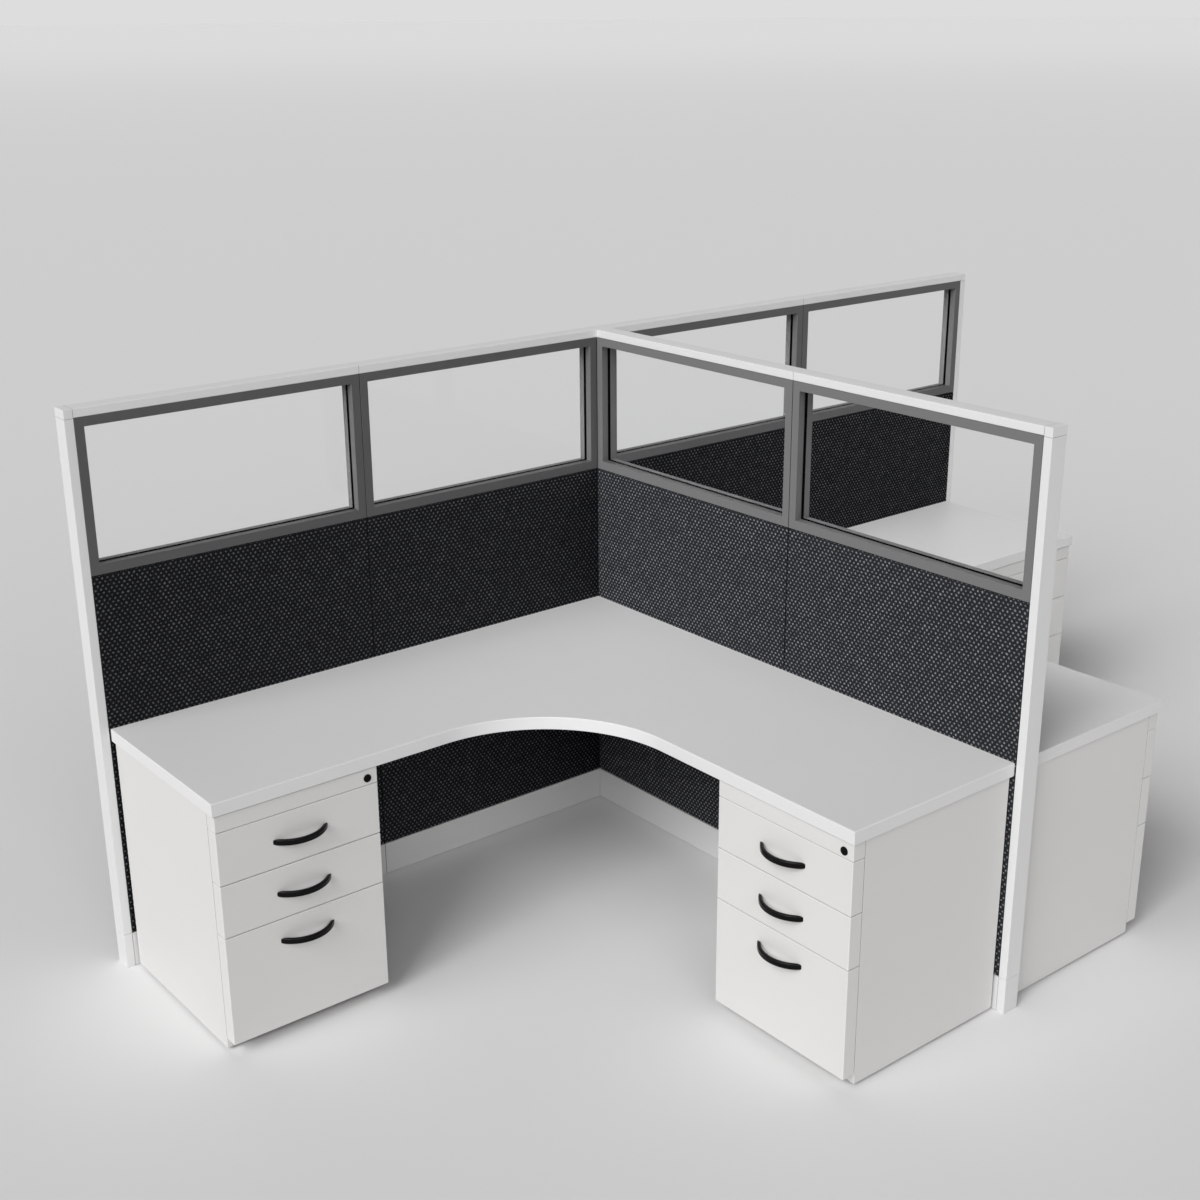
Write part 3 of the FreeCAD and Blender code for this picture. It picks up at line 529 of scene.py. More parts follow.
class Shape:
    """A piece being shaped, in millimetres of its sub-assembly's frame."""

    def __init__(self) -> None:
        """Start with nothing."""
        self.mesh = bmesh.new()

    def ease(
        self, geometry: Iterable, radius: float, steps: int = 2, affect: str = "EDGES"
    ) -> None:
        """Round edges or corners.

        Args:
            geometry: The edges or corners to round.
            radius: Width of the rounding.
            steps: Number of facets across it.
            affect: EDGES or VERTICES.
        """
        if radius > 0:
            bmesh.ops.bevel(
                self.mesh,
                geom=list(geometry),
                offset=radius,
                offset_type="OFFSET",
                segments=steps,
                profile=0.5,
                affect=affect,
                clamp_overlap=True,
                material=-1,
            )

    def block(
        self,
        low: Point,
        high: Point,
        radius: float,
        steps: int = 2,
        chosen: Callable[[bmesh.types.BMEdge], bool] | None = None,
    ) -> list[bmesh.types.BMFace]:
        """Add a block with eased edges.

        Args:
            low: Lowest corner.
            high: Highest corner.
            radius: Width of the easing.
            steps: Facets across the easing.
            chosen: Test for the edges to ease, or None for all.

        Returns:
            The block's faces before its edges were eased.
        """
        first, last = Vector(low), Vector(high)
        place = Matrix.Translation((first + last) / 2) @ Matrix.Diagonal((*(last - first), 1.0))
        made = bmesh.ops.create_cube(self.mesh, size=1.0, matrix=place)
        edges = {edge for vert in made["verts"] for edge in vert.link_edges}
        faces = list({face for vert in made["verts"] for face in vert.link_faces})
        self.ease([edge for edge in edges if chosen is None or chosen(edge)], radius, steps)
        return [face for face in faces if face.is_valid]

    def point(self, place: Sequence[float]) -> bmesh.types.BMVert:
        """Add one point."""
        return bmesh.ops.create_vert(self.mesh, co=place)["vert"][0]

    def face(self, corners: Sequence[Vector]) -> bmesh.types.BMFace:
        """Add one flat face through its corners."""
        verts = [self.point(corner) for corner in corners]
        return bmesh.ops.contextual_create(self.mesh, geom=verts)["faces"][0]

    def thicken(self, faces: Sequence[bmesh.types.BMFace], by: Sequence[float]) -> None:
        """Draw flat faces out.

        Args:
            faces: The faces.
            by: Distance and direction to draw them out.
        """
        drawn = bmesh.ops.extrude_face_region(self.mesh, geom=list(faces))["geom"]
        verts = [item for item in drawn if isinstance(item, bmesh.types.BMVert)]
        bmesh.ops.translate(self.mesh, verts=verts, vec=by)

    def delete(self, faces: Iterable[bmesh.types.BMFace]) -> None:
        """Take faces away and leave their edges."""
        bmesh.ops.delete(self.mesh, geom=list(faces), context="FACES_ONLY")

    def channel(
        self,
        lows: Flat,
        highs: Flat,
        sheet: float,
        axis: int,
        start: float,
        length: float,
        radius: float,
    ) -> None:
        """Add a folded channel whose web is at its first corner and whose lips reach the second.

        Args:
            lows: Outer face of the web, and bottom level.
            highs: End of the lips, and top level.
            sheet: Thickness of its sheet.
            axis: Number of the axis that the channel follows, 0 or 1.
            start: Where it begins along that axis.
            length: Its length.
            radius: Easing of its long edges.
        """
        (web, low), (lip, high) = lows, highs
        skin = web + math.copysign(sheet, lip - web)
        outline = [(web, low), (lip, low), (lip, low + sheet), (skin, low + sheet)]
        outline += [(skin, high - sheet), (lip, high - sheet), (lip, high), (web, high)]
        corners = [
            Vector((start, across, up) if axis == 0 else (across, start, up))
            for across, up in outline
        ]
        base = self.face(corners)
        self.thicken([base], (length, 0.0, 0.0) if axis == 0 else (0.0, length, 0.0))
        long_edges = [
            edge
            for vert in base.verts
            for edge in vert.link_edges
            if abs((edge.verts[0].co - edge.verts[1].co)[axis]) > length / 2
        ]
        self.ease(long_edges, radius)

    def ring(self, low: Point, high: Point, rim: float, sill: float, radius: float) -> None:
        """Add a mitred rectangular surround that faces along Y.

        Args:
            low: Lowest corner of its outside.
            high: Highest corner of its outside.
            rim: Width of its face at the sides and the head.
            sill: Width of its face at the sill.
            radius: Easing of its edges.
        """
        corners = [(low[0], low[2]), (high[0], low[2]), (high[0], high[2]), (low[0], high[2])]
        face = self.face([Vector((x, low[1], z)) for x, z in corners])
        rims = bmesh.ops.inset_region(
            self.mesh, faces=[face], thickness=rim, use_boundary=True, use_even_offset=True
        )["faces"]
        feet = [vert for vert in face.verts if vert.co.z < (low[2] + high[2]) / 2]
        bmesh.ops.translate(self.mesh, verts=feet, vec=(0.0, 0.0, sill - rim))
        self.delete([face])
        self.thicken(rims, (0.0, high[1] - low[1], 0.0))
        sharp = [e for e in self.mesh.edges if e.is_manifold and e.calc_face_angle(0.0) > 0.8]
        self.ease([edge for edge in sharp if self.within(edge, low, high)], radius)

    @staticmethod
    def within(edge: bmesh.types.BMEdge, low: Point, high: Point) -> bool:
        """Test an edge for its place.

        Args:
            edge: The edge.
            low: Lowest corner of a box.
            high: Highest corner of the box.

        Returns:
            True if both ends of the edge lie in the box.
        """
        return all(
            low[axis] - SLACK <= vert.co[axis] <= high[axis] + SLACK
            for vert in edge.verts
            for axis in range(3)
        )

    def lathe(self, profile: Sequence[Flat], foot: Point, axis: Vector, steps: int) -> None:
        """Add a turned piece.

        Args:
            profile: Radius and height of each point, from the foot up.
            foot: Point on the axis where height is zero.
            axis: Direction of the axis, of length one.
            steps: Number of facets round it.
        """
        out = axis.orthogonal().normalized()
        centre = Vector(foot)
        verts = [self.point(centre + out * radius + axis * height) for radius, height in profile]
        edges = [self.mesh.edges.new(pair) for pair in zip(verts, verts[1:])]
        bmesh.ops.spin(
            self.mesh,
            geom=verts + edges,
            cent=centre,
            axis=axis,
            angle=math.tau,
            steps=steps,
            use_merge=True,
        )
        loose = [
            vert
            for vert in self.mesh.verts
            if vert.is_boundary
            or not vert.link_faces
            or (vert.co - centre).cross(axis).length < TOUCH
        ]
        bmesh.ops.remove_doubles(self.mesh, verts=loose, dist=TOUCH)

    @staticmethod
    def faces_at(
        level: float, among: Iterable[bmesh.types.BMFace]
    ) -> list[bmesh.types.BMFace]:
        """The faces that lie flat at one place along Y."""
        return [f for f in among if all(abs(vert.co.y - level) < SLACK for vert in f.verts)]

    def sink(self, low: Flat, high: Flat, level: float, depth: float) -> None:
        """Sink a straight-sided slot into a flat end that faces -Y.

        Args:
            low: Lowest corner of the slot, across and up.
            high: Highest corner of the slot, across and up.
            level: Place of the end along Y.
            depth: Depth of the slot.
        """
        bm = self.mesh
        bmesh.ops.dissolve_faces(bm, faces=self.faces_at(level, bm.faces), use_verts=True)
        for axis, spots in ((0, (low[0], high[0])), (2, (low[1], high[1]))):
            normal = Vector([float(number == axis) for number in range(3)])
            for spot in spots:
                end = self.faces_at(level, bm.faces)
                edges = {edge for face in end for edge in face.edges}
                verts = {vert for face in end for vert in face.verts}
                cut = [*verts, *edges, *end]
                bmesh.ops.bisect_plane(bm, geom=cut, plane_co=normal * spot, plane_no=normal)
        floor = []
        for face in self.faces_at(level, bm.faces):
            across, _, up = face.calc_center_median()
            if low[0] < across < high[0] and low[1] < up < high[1]:
                floor.append(face)
        self.thicken(floor, (0.0, depth, 0.0))
        self.delete(floor)

    def move_into(self, whole: "Shape", place: Matrix) -> None:
        """Use the shape up by moving it into another, which is in the part's metres.

        Args:
            whole: The shape that takes it in.
            place: Matrix from its sub-assembly's frame.
        """
        bmesh.ops.transform(self.mesh, matrix=place, verts=self.mesh.verts)
        bmesh.ops.recalc_face_normals(self.mesh, faces=self.mesh.faces)
        carrier = bpy.data.meshes.new("carrier")
        self.mesh.to_mesh(carrier)
        self.mesh.free()
        whole.mesh.from_mesh(carrier)
        bpy.data.meshes.remove(carrier)

    def lay_wall_map(self) -> None:
        """Lay a map in metres on every face: to the right along the wall, and up it."""
        layer = self.mesh.loops.layers.uv.new("wall")
        for face in self.mesh.faces:
            normal = face.normal
            for loop in face.loops:
                x, y, z = loop.vert.co
                if abs(normal.z) > 0.8:
                    loop[layer].uv = (x, y)
                elif abs(normal.y) > abs(normal.x):
                    loop[layer].uv = (x if normal.y < 0 else -x, z)
                else:
                    loop[layer].uv = (y if normal.x > 0 else -y, z)

    def set_down(
        self,
        name: str,
        place: Matrix,
        slot: Slot,
        body: str = ROOT,
        stands_for: Sequence[str] = (),
        mapped: bool = False,
    ) -> None:
        """Finish the piece in the part's frame.

        Args:
            name: Name of the piece.
            place: Matrix from its sub-assembly's frame.
            slot: Material slot of the record.
            body: The body that it moves with.
            stands_for: The nodes that it takes the place of.
            mapped: True to lay the wall's map on it.
        """
        bm = self.mesh
        bmesh.ops.transform(bm, matrix=place, verts=bm.verts)
        bmesh.ops.recalc_face_normals(bm, faces=bm.faces)
        if mapped:
            self.lay_wall_map()
        for face in bm.faces:
            face.smooth = True
        data = bpy.data.meshes.new(name)
        bm.to_mesh(data)
        bm.free()
        data.set_sharp_from_angle(angle=math.radians(SMOOTH_ANGLE))
        data.materials.append(material_for(slot))
        piece = bpy.data.objects.new(name, data)
        bpy.context.scene.collection.objects.link(piece)
        piece.modifiers.new("EvenShade", "WEIGHTED_NORMAL").keep_sharp = True
        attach(piece, body)
        if stands_for:
            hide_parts(*stands_for)
        log.info("piece %s: %d faces on %s", name, len(data.polygons), body)


@dataclass
class WallRun:
    """One run of the walls: two panels and an end post, drawn outwards along +X."""

    run: Run
    half_wall: float = 29.0
    module: float = 883.0
    post: float = 25.0
    seam: float = 1.0
    tile_depth: float = 14.0
    tile_levels: Flat = (109.0, 1193.5)
    tile_edge: float = 1.8
    core_inset: Point = (26.0, 0.5, 24.0)
    window_levels: Flat = (1195.5, 1628.5)
    rim: float = 26.0
    sill: float = 28.0
    surround_edge: float = 0.7
    gasket: Flat = (12.0, 1.2)
    gasket_edge: float = 0.4
    glass: float = 6.0
    glass_bite: float = 0.1
    glass_edge: float = 0.6
    cover_levels: Flat = (1.5, 107.0)
    cover_sheet: float = 1.5
    cover_edge: float = 0.7
    cap_levels: Flat = (1628.5, 1653.0)
    cap_shadow: Flat = (2.5, 1.5)
    cap_skirt: Flat = (2.0, 1.0)
    cap_edge: float = 2.0
    post_edges: Point = (1.0, 0.6, 0.8)
    fine_seam: float = 1.2
    post_seal: float = 0.4
    seal_depths: Point = (0.6, 1.5, 0.2)
    seal_rises: Flat = (0.5, 1.0)
    seal_play: Point = (0.1, 0.05, 0.3)

    @property
    def panels(self) -> tuple[Flat, Flat]:
        """Start and end of each panel."""
        first = self.half_wall + self.module
        return (self.half_wall, first), (first, first + self.module - self.post)

    @property
    def place(self) -> Matrix:
        """Place of the run's frame."""
        return frame_place(0.0, self.module, self.run.value)

    def finish(self, shape: Shape, piece: str, slot: Slot, node: str, mapped: bool = False) -> None:
        """Set one of the run's own pieces down in place of its node."""
        label = self.run.label
        shape.set_down(f"{label}_{piece}", self.place, slot, ROOT, [f"{label}_{node}"], mapped)

    def cloth_tiles(self) -> None:
        """Fabric-wrapped tiles on both faces, and the cores between them."""
        shape = Shape()
        low, high = self.tile_levels
        half, inner, seam = self.half_wall, self.half_wall - self.tile_depth, self.seam
        side, gap, head = self.core_inset
        core = inner - gap
        for start, end in self.panels:
            for face, back in ((half, inner), (-inner, -half)):
                first, last = (start + seam, back, low), (end - seam, face, high)
                shape.block(first, last, self.tile_edge, 3)
            first, last = (start + side, -core, low + side), (end - side, core, high - head)
            shape.block(first, last, 0.0)
        self.finish(shape, "cloth_tiles", Slot.FABRIC, "fabric_tiles", mapped=True)

    def window_surrounds(self) -> None:
        """Mitred window surrounds, as deep as the wall."""
        shape = Shape()
        low, high = self.window_levels
        half = self.half_wall
        for start, end in self.panels:
            first, last = (start + self.seam, -half, low), (end - self.seam, half, high)
            shape.ring(first, last, self.rim, self.sill, self.surround_edge)
        self.finish(shape, "window_surrounds", Slot.SURROUND, "window_frames", mapped=True)

    def opening(self, start: float, end: float) -> tuple[Point, Point]:
        """Place of a panel's window opening, over the gasket's depth.

        Args:
            start: Where the panel begins.
            end: Where the panel ends.

        Returns:
            The opening's lowest and highest corners.
        """
        low, high = self.window_levels
        half = self.gasket[0] / 2
        edge = self.seam + self.rim
        return (start + edge, -half, low + self.sill), (end - edge, half, high - self.rim)

    def add_gaskets(self, shape: Shape) -> None:
        """Add the gaskets round the panes and the dark seals in the joints.

        Args:
            shape: The shape to add to, in the run's frame.
        """
        width = self.gasket[1]
        for start, end in self.panels:
            shape.ring(*self.opening(start, end), width, width, self.gasket_edge)
        joint, end = (stop for _, stop in self.panels)
        wide_play, fine_play, end_play = self.seal_play
        wide, fine = self.seam - wide_play, self.seam / 2 - fine_play
        first_rise, second_rise = self.seal_rises
        foot, base = self.cover_levels[0] + first_rise, self.tile_levels[0] + second_rise
        seat, head = self.cap_levels[0], self.cap_levels[1] - end_play
        top = seat - self.fine_seam
        in_tiles, in_covers, in_caps = self.seal_depths
        seals = (
            (joint - wide, joint + wide, in_tiles, base, seat),
            (joint - wide, joint + wide, in_covers, foot, base),
            (joint - fine, joint + fine, in_caps, seat, head),
            (end - fine, end - fine_play, in_caps, seat, head),
            (end + end_play, end + self.post - end_play, in_caps, top - self.post_seal, top),
        )
        for left, right, depth, low, high in seals:
            half = self.half_wall - depth
            shape.block((left, -half, low), (right, half, high), 0.0)

    def add_panes(self, shape: Shape) -> None:
        """Add the window panes.

        Args:
            shape: The shape to add to, in the run's frame.
        """
        lip = self.gasket[1] - self.glass_bite
        half = self.glass / 2
        for start, end in self.panels:
            low, high = self.opening(start, end)
            first = (low[0] + lip, -half, low[2] + lip)
            last = (high[0] - lip, half, high[2] - lip)
            shape.block(first, last, self.glass_edge)

    def add_caps(self, shape: Shape) -> None:
        """Add the top caps, each on two skirts that leave a shadow line.

        Args:
            shape: The shape to add to, in the run's frame.
        """
        low, high = self.cap_levels
        inset, gap = self.cap_shadow
        sheet, overlap = self.cap_skirt
        half = self.half_wall
        seat = half - inset

        def along_top(edge: bmesh.types.BMEdge) -> bool:
            """True if an edge runs along the top of a cap."""
            first, last = (vert.co for vert in edge.verts)
            return min(first.z, last.z) > high - SLACK and abs(first.x - last.x) > SLACK

        for start, end in self.panels:
            left, right = start + self.seam / 2, end - self.seam / 2
            first, last = (left, -half, low + gap), (right, half, high)
            shape.block(first, last, self.cap_edge, 3, along_top)
            for side in (-1, 1):
                near, far = sorted((seat * side, (seat - sheet) * side))
                shape.block((left, near, low), (right, far, low + gap + overlap), 0.0)

    def add_post_cap(self, shape: Shape) -> None:
        """Add the end post's cap.

        Args:
            shape: The shape to add to, in the run's frame.
        """
        start, half = self.panels[-1][1], self.half_wall
        low, high = self.cap_levels
        first, last = (start, -half, low - self.fine_seam), (start + self.post, half, high)
        shape.block(first, last, self.post_edges[2], 3)

    def raceway(self) -> None:
        """Folded base covers, one on each side of each panel."""
        shape = Shape()
        low, high = self.cover_levels
        lip = self.half_wall - self.tile_depth
        sheet, radius = self.cover_sheet, self.cover_edge
        for start, end in self.panels:
            first, length = start + self.seam, end - start - self.seam * 2
            for side in (-1, 1):
                web, end_of_lips = (self.half_wall * side, low), (lip * side, high)
                shape.channel(web, end_of_lips, sheet, 0, first, length, radius)
        self.finish(shape, "base_covers", Slot.TRIM, "raceway_covers")

    def end_post(self) -> None:
        """Square-cut end post on its base piece."""
        shape = Shape()
        start, half, base = self.panels[-1][1], self.half_wall, self.cover_levels[1]
        end = start + self.post
        top = self.cap_levels[0] - self.fine_seam - self.post_seal
        base_edge, post_edge, _ = self.post_edges
        shape.block((start, -half, 0.0), (end, half, base), base_edge)
        shape.block((start, -half, base + self.fine_seam), (end, half, top), post_edge)
        self.finish(shape, "post", Slot.TRIM, "end_post")

    def build(self) -> None:
        """Make the pieces that belong to this run alone."""
        self.cloth_tiles()
        self.window_surrounds()
        self.raceway()
        self.end_post()


@dataclass
class Walls:
    """The T of wall runs, with what they share."""

    runs: tuple[WallRun, ...] = field(default_factory=lambda: tuple(map(WallRun, Run)))
    face_plate: float = 8.0
    core_inset: float = 3.0
    post_edge: float = 1.0
    cap_edge: float = 0.4

    @property
    def centre_place(self) -> Matrix:
        """Place of the T's centre."""
        return frame_place(0.0, self.runs[0].module, 0.0)

    def junction(self) -> None:
        """Post at the centre of the T, and the dark core behind its face."""
        run = self.runs[0]
        half, back = run.half_wall, run.half_wall - self.face_plate
        inner = half - self.core_inset
        base, top = run.cover_levels[1], run.cap_levels[0] - run.fine_seam
        shape, radius = Shape(), self.post_edge
        shape.block((-half, -half, 0.0), (half, half, base), radius)
        shape.block((-half, back, base + run.fine_seam), (half, half, top), radius)
        shape.set_down("junction_column", self.centre_place, Slot.TRIM, ROOT, ["junction_post"])
        core = Shape()
        core.block((-inner, -inner, base), (inner, back, top), radius)
        core.set_down("junction_core", self.centre_place, Slot.TUBE)

    def shared(self) -> None:
        """Caps, gaskets, panes and post caps of every run."""
        caps, gaskets, panes, ends = Shape(), Shape(), Shape(), Shape()
        makers = (
            (WallRun.add_caps, caps),
            (WallRun.add_gaskets, gaskets),
            (WallRun.add_panes, panes),
            (WallRun.add_post_cap, ends),
        )
        for run in self.runs:
            for maker, whole in makers:
                own = Shape()
                maker(run, own)
                own.move_into(whole, run.place)
        first = self.runs[0]
        half, (low, high) = first.half_wall, first.cap_levels
        own = Shape()
        own.block((-half, -half, low - first.fine_seam), (half, half, high), self.cap_edge)
        own.move_into(ends, self.centre_place)
        still = Matrix.Identity(4)
        caps.set_down("wall_caps", still, Slot.TRIM, ROOT, ["panel_caps"])
        gaskets.set_down("glazing_gaskets", still, Slot.RUBBER, ROOT, ["window_gaskets"])
        panes.set_down("window_panes", still, Slot.GLASS, ROOT, ["window_glass"])
        ends.set_down("wall_post_caps", still, Slot.TRIM, ROOT, ["post_caps"])

    def build(self) -> None:
        """Make every wall piece."""
        for run in self.runs:
            run.build()
        self.junction()
        self.shared()


@dataclass
class Worksurface:
    """One L-shaped top with a coved inner front, drawn as the left station's."""

    side: str
    mirrored: bool
    wall_edge: float = -29.5
    spine_edge: float = 853.5
    length: float = 1735.5
    depth: float = 608.5
    cove: float = 420.0
    cove_steps: int = 48
    levels: Flat = (711.5, 749.5)
    radius: float = 2.2

    def is_open_edge(self, edge: bmesh.types.BMEdge) -> bool:
        """Test an edge of the top.

        Args:
            edge: The edge.

        Returns:
            True if it is level and doesn't lie along a wall.
        """
        ends = [vert.co for vert in edge.verts]
        level = abs(ends[0].z - ends[1].z) < TOUCH
        at_wall = all(abs(end.x - self.wall_edge) < TOUCH for end in ends)
        at_spine = all(abs(end.y - self.spine_edge) < TOUCH for end in ends)
        return level and not at_wall and not at_spine

    def build(self) -> None:
        """Make the top."""
        shape = Shape()
        bm = shape.mesh
        low, high = self.levels
        wall, spine = self.wall_edge, self.spine_edge
        far_x, far_y = wall - self.length, spine - self.length
        front_x, front_y = wall - self.depth, spine - self.depth
        hub = Vector((front_x - self.cove, front_y - self.cove, low))
        first = shape.point((hub.x, front_y, low))
        swept = bmesh.ops.spin(
            bm,
            geom=[first],
            cent=hub,
            axis=-UP,
            angle=math.pi / 2,
            steps=self.cove_steps,
            use_merge=False,
        )
        last = next(item for item in swept["geom_last"] if isinstance(item, bmesh.types.BMVert))
        corners = ((front_x, far_y), (wall, far_y), (wall, spine), (far_x, spine), (far_x, front_y))
        chain = [last, *(shape.point((x, y, low)) for x, y in corners), first]
        for pair in zip(chain, chain[1:]):
            bm.edges.new(pair)
        base = bmesh.ops.contextual_create(bm, geom=list(bm.edges))["faces"]
        shape.thicken(base, (0.0, 0.0, high - low))
        shape.ease([edge for edge in bm.edges if self.is_open_edge(edge)], self.radius, 3)
        place = frame_place(0.0, 0.0, 0.0, self.mirrored)
        shape.set_down(f"{self.side}_top", place, Slot.LAMINATE, ROOT, [f"worksurface_{self.side}"])


@dataclass
class Bow:
    """A bow handle: a rounded bar swept round an arc and cut flat at the drawer front."""

    level: float
    reach: float = 40.0
    half_span: float = 81.0
    deep: float = 10.0
    tall: float = 17.0
    rounding: float = 3.2
    overrun: float = 0.16
    steps: int = 44
    thinning: Flat = (0.2, 10.0)
    seat: float = -0.02

    def build(self) -> Shape:
        """Make the handle.

        Returns:
            Its shape, in its pedestal's frame.
        """
        outer = (self.half_span**2 + self.reach**2) / (self.reach * 2)
        hub = Vector((0.0, outer - self.reach, self.level))
        lean = math.asin((outer - self.reach) / (outer - self.deep)) - self.overrun
        shape = Shape()
        bm = shape.mesh
        start = Vector((math.cos(math.pi + lean), math.sin(math.pi + lean), 0.0))
        middle = Matrix.Translation(hub + start * (outer - self.deep / 2))
        turned = Matrix((start, UP, start.cross(UP))).transposed().to_4x4()
        section = middle @ turned @ Matrix.Diagonal((self.deep, self.tall, 1.0, 1.0))
        base = bmesh.ops.create_grid(
            bm, x_segments=1, y_segments=1, size=0.5, matrix=Matrix.Identity(4)
        )
        bmesh.ops.transform(bm, verts=base["verts"], matrix=section)
        shape.ease(bm.verts, self.rounding, 4, "VERTICES")
        bmesh.ops.spin(
            bm,
            geom=[*bm.verts, *bm.edges, *bm.faces],
            cent=hub,
            axis=UP,
            angle=math.pi - lean * 2,
            steps=self.steps,
            use_merge=False,
        )
        bmesh.ops.remove_doubles(bm, verts=bm.verts, dist=TOUCH)
        cut = bmesh.ops.bisect_plane(
            bm,
            geom=[*bm.verts, *bm.edges, *bm.faces],
            plane_co=(0.0, self.seat, 0.0),
            plane_no=(0.0, 1.0, 0.0),
            clear_outer=True,
        )
        rim = [item for item in cut["geom_cut"] if isinstance(item, bmesh.types.BMEdge)]
        bmesh.ops.holes_fill(bm, edges=rim, sides=0)
        share, length = self.thinning
        for vert in bm.verts:
            near = max(0.0, 1.0 + vert.co.y / length)
            vert.co.z = self.level + (vert.co.z - self.level) * (1.0 - share * near * near)
        return shape


@dataclass
class Pedestal:
    """A box-box-file pedestal, drawn about the middle of its front face, +Y to the rear."""

    name: str
    x: float
    y: float
    turn: float
    mirrored: bool
    half: float = 239.0
    inner: float = 223.0
    front_depth: float = 40.5
    front_radius: float = 2.0
    case_front: float = 43.5
    case_back: float = 593.0
    case_top: float = 709.0
    back_panel: Flat = (2.5, 0.3)
    floor_gap: float = 10.0
    kick_setback: float = 1.5
    strip_bottom: float = 663.0
    strip_plate: Flat = (1.4, 2.6)
    sheet: float = 1.2
    fold_edge: float = 0.4
    corner_inset: float = 60.0
    spacer: Point = (20.0, 2.5, 0.5)
    drawer_half: float = 211.0
    drawer_back: float = 560.5
    floor_rise: float = 14.0
    hem: Flat = (10.0, 1.6)
    slide_rise: float = 36.0
    slide_reach: float = 15.7
    slide_lip: float = 221.2
    slide_run: Flat = (2.0, 500.0)
    slide_sheet: float = 1.5
    slide_edge: float = 0.35
    lock_place: Flat = (208.5, 683.0)
    lock_steps: int = 48
    cam: tuple[Point, Point] = ((-15.0, 25.95, -4.0), (-7.0, 27.9, 4.0))
    cam_edge: float = 0.6
    keyway: Point = (0.7, 4.0, 1.5)

    @property
    def place(self) -> Matrix:
        """Place of the pedestal's frame."""
        return frame_place(self.x, self.y, self.turn, self.mirrored)

    @property
    def corners(self) -> list[Flat]:
        """The places of its spacers and glides."""
        inset = self.corner_inset
        across, near, far = self.half - inset, self.case_front + inset, self.case_back - inset
        return [(x, y) for x in (-across, across) for y in (near, far)]

    def front(self, shape: Shape, low: float, high: float) -> list[bmesh.types.BMFace]:
        """Add a steel front with rolled edges between two levels, and return its other faces."""
        first, last = (-self.half, 0.0, low), (self.half, self.front_depth, high)
        return shape.block(first, last, self.front_radius, 3, at_front)

    def case(self) -> None:
        """Case: gables, top, back, floor, kick, spacers and the lock strip."""
        shape = Shape()
        half, inner, front, back = self.half, self.inner, self.case_front, self.case_back
        top, low, skin = self.case_top, self.floor_gap, self.sheet
        floor = Drawer.FILE.value[0]
        for side in (-1, 1):
            near, far = sorted((half * side, inner * side))
            shape.block((near, front, low), (far, back, top), SHEET_EDGE)
        rear, cover = (back - inset for inset in self.back_panel)
        shape.block((-inner, rear, low), (inner, cover, top), SHEET_EDGE)
        shape.block((-inner, front, top - skin * 2), (inner, rear, top), self.fold_edge)
        shape.block((-inner, front, floor), (inner, rear, floor + skin), SHEET_EDGE)
        kick = front + self.kick_setback
        shape.block((-inner, kick, low), (inner, kick + skin, floor), SHEET_EDGE)
        reach, rise, radius = self.spacer
        for x, y in self.corners:
            shape.block((x - reach, y - reach, top), (x + reach, y + reach, top + rise), radius)
        strip, rim = self.strip_bottom, self.front_depth
        shape.delete(shape.faces_at(rim, self.front(shape, strip, top)))
        near, far = self.strip_plate
        shape.block((-half + skin, near, strip + skin), (half - skin, far, top - skin), 0.0)
        shape.block((-inner, rim, top - skin), (inner, front, top), 0.0)
        shape.set_down(f"{self.name}_cabinet", self.place, Slot.STEEL, ROOT, [f"{self.name}_case"])

    def lock(self) -> None:
        """Lock: bezel, threaded barrel, collar and cam, with a plug and its keyway."""
        x, z = self.lock_place
        centre, ahead = (x, 0.0, z), Vector((0.0, 1.0, 0.0))
        body = f"{self.name}_lock"
        shape = Shape()
        well = [(0.0, -0.2), (8.1, -0.2), (8.1, -1.5)]
        rim = [(8.6, -2.35), (9.5, -2.55), (10.6, -2.5), (11.3, -2.0), (11.5, -1.2), (11.5, -0.05)]
        collar = [(8.0, -0.05), (8.0, 1.3), (10.4, 1.3), (10.4, 4.2), (8.0, 4.2)]
        thread = [(8.0 - 0.5 * (turn % 2), 5.0 + turn) for turn in range(21)]
        end = [(8.0, 26.0), (8.0, 27.6), (7.6, 28.0), (0.0, 28.0)]
        shape.lathe(well + rim + collar + thread + end, centre, ahead, self.lock_steps)
        first, last = ((x + across, deep, z + up) for across, deep, up in self.cam)
        shape.block(first, last, self.cam_edge)
        shape.set_down(f"{body}_barrel", self.place, Slot.PLASTIC, body, [body])
        plug = Shape()
        profile = [(0.0, -0.3), (8.05, -0.3), (8.0, -1.9), (7.6, -2.15), (0.0, -2.15)]
        plug.lathe(profile, centre, ahead, self.lock_steps)
        wide, high, depth = self.keyway
        plug.sink((x - wide, z - high), (x + wide, z + high), profile[-1][1], depth)
        plug.set_down(f"{body}_plug", self.place, Slot.PLASTIC, body)

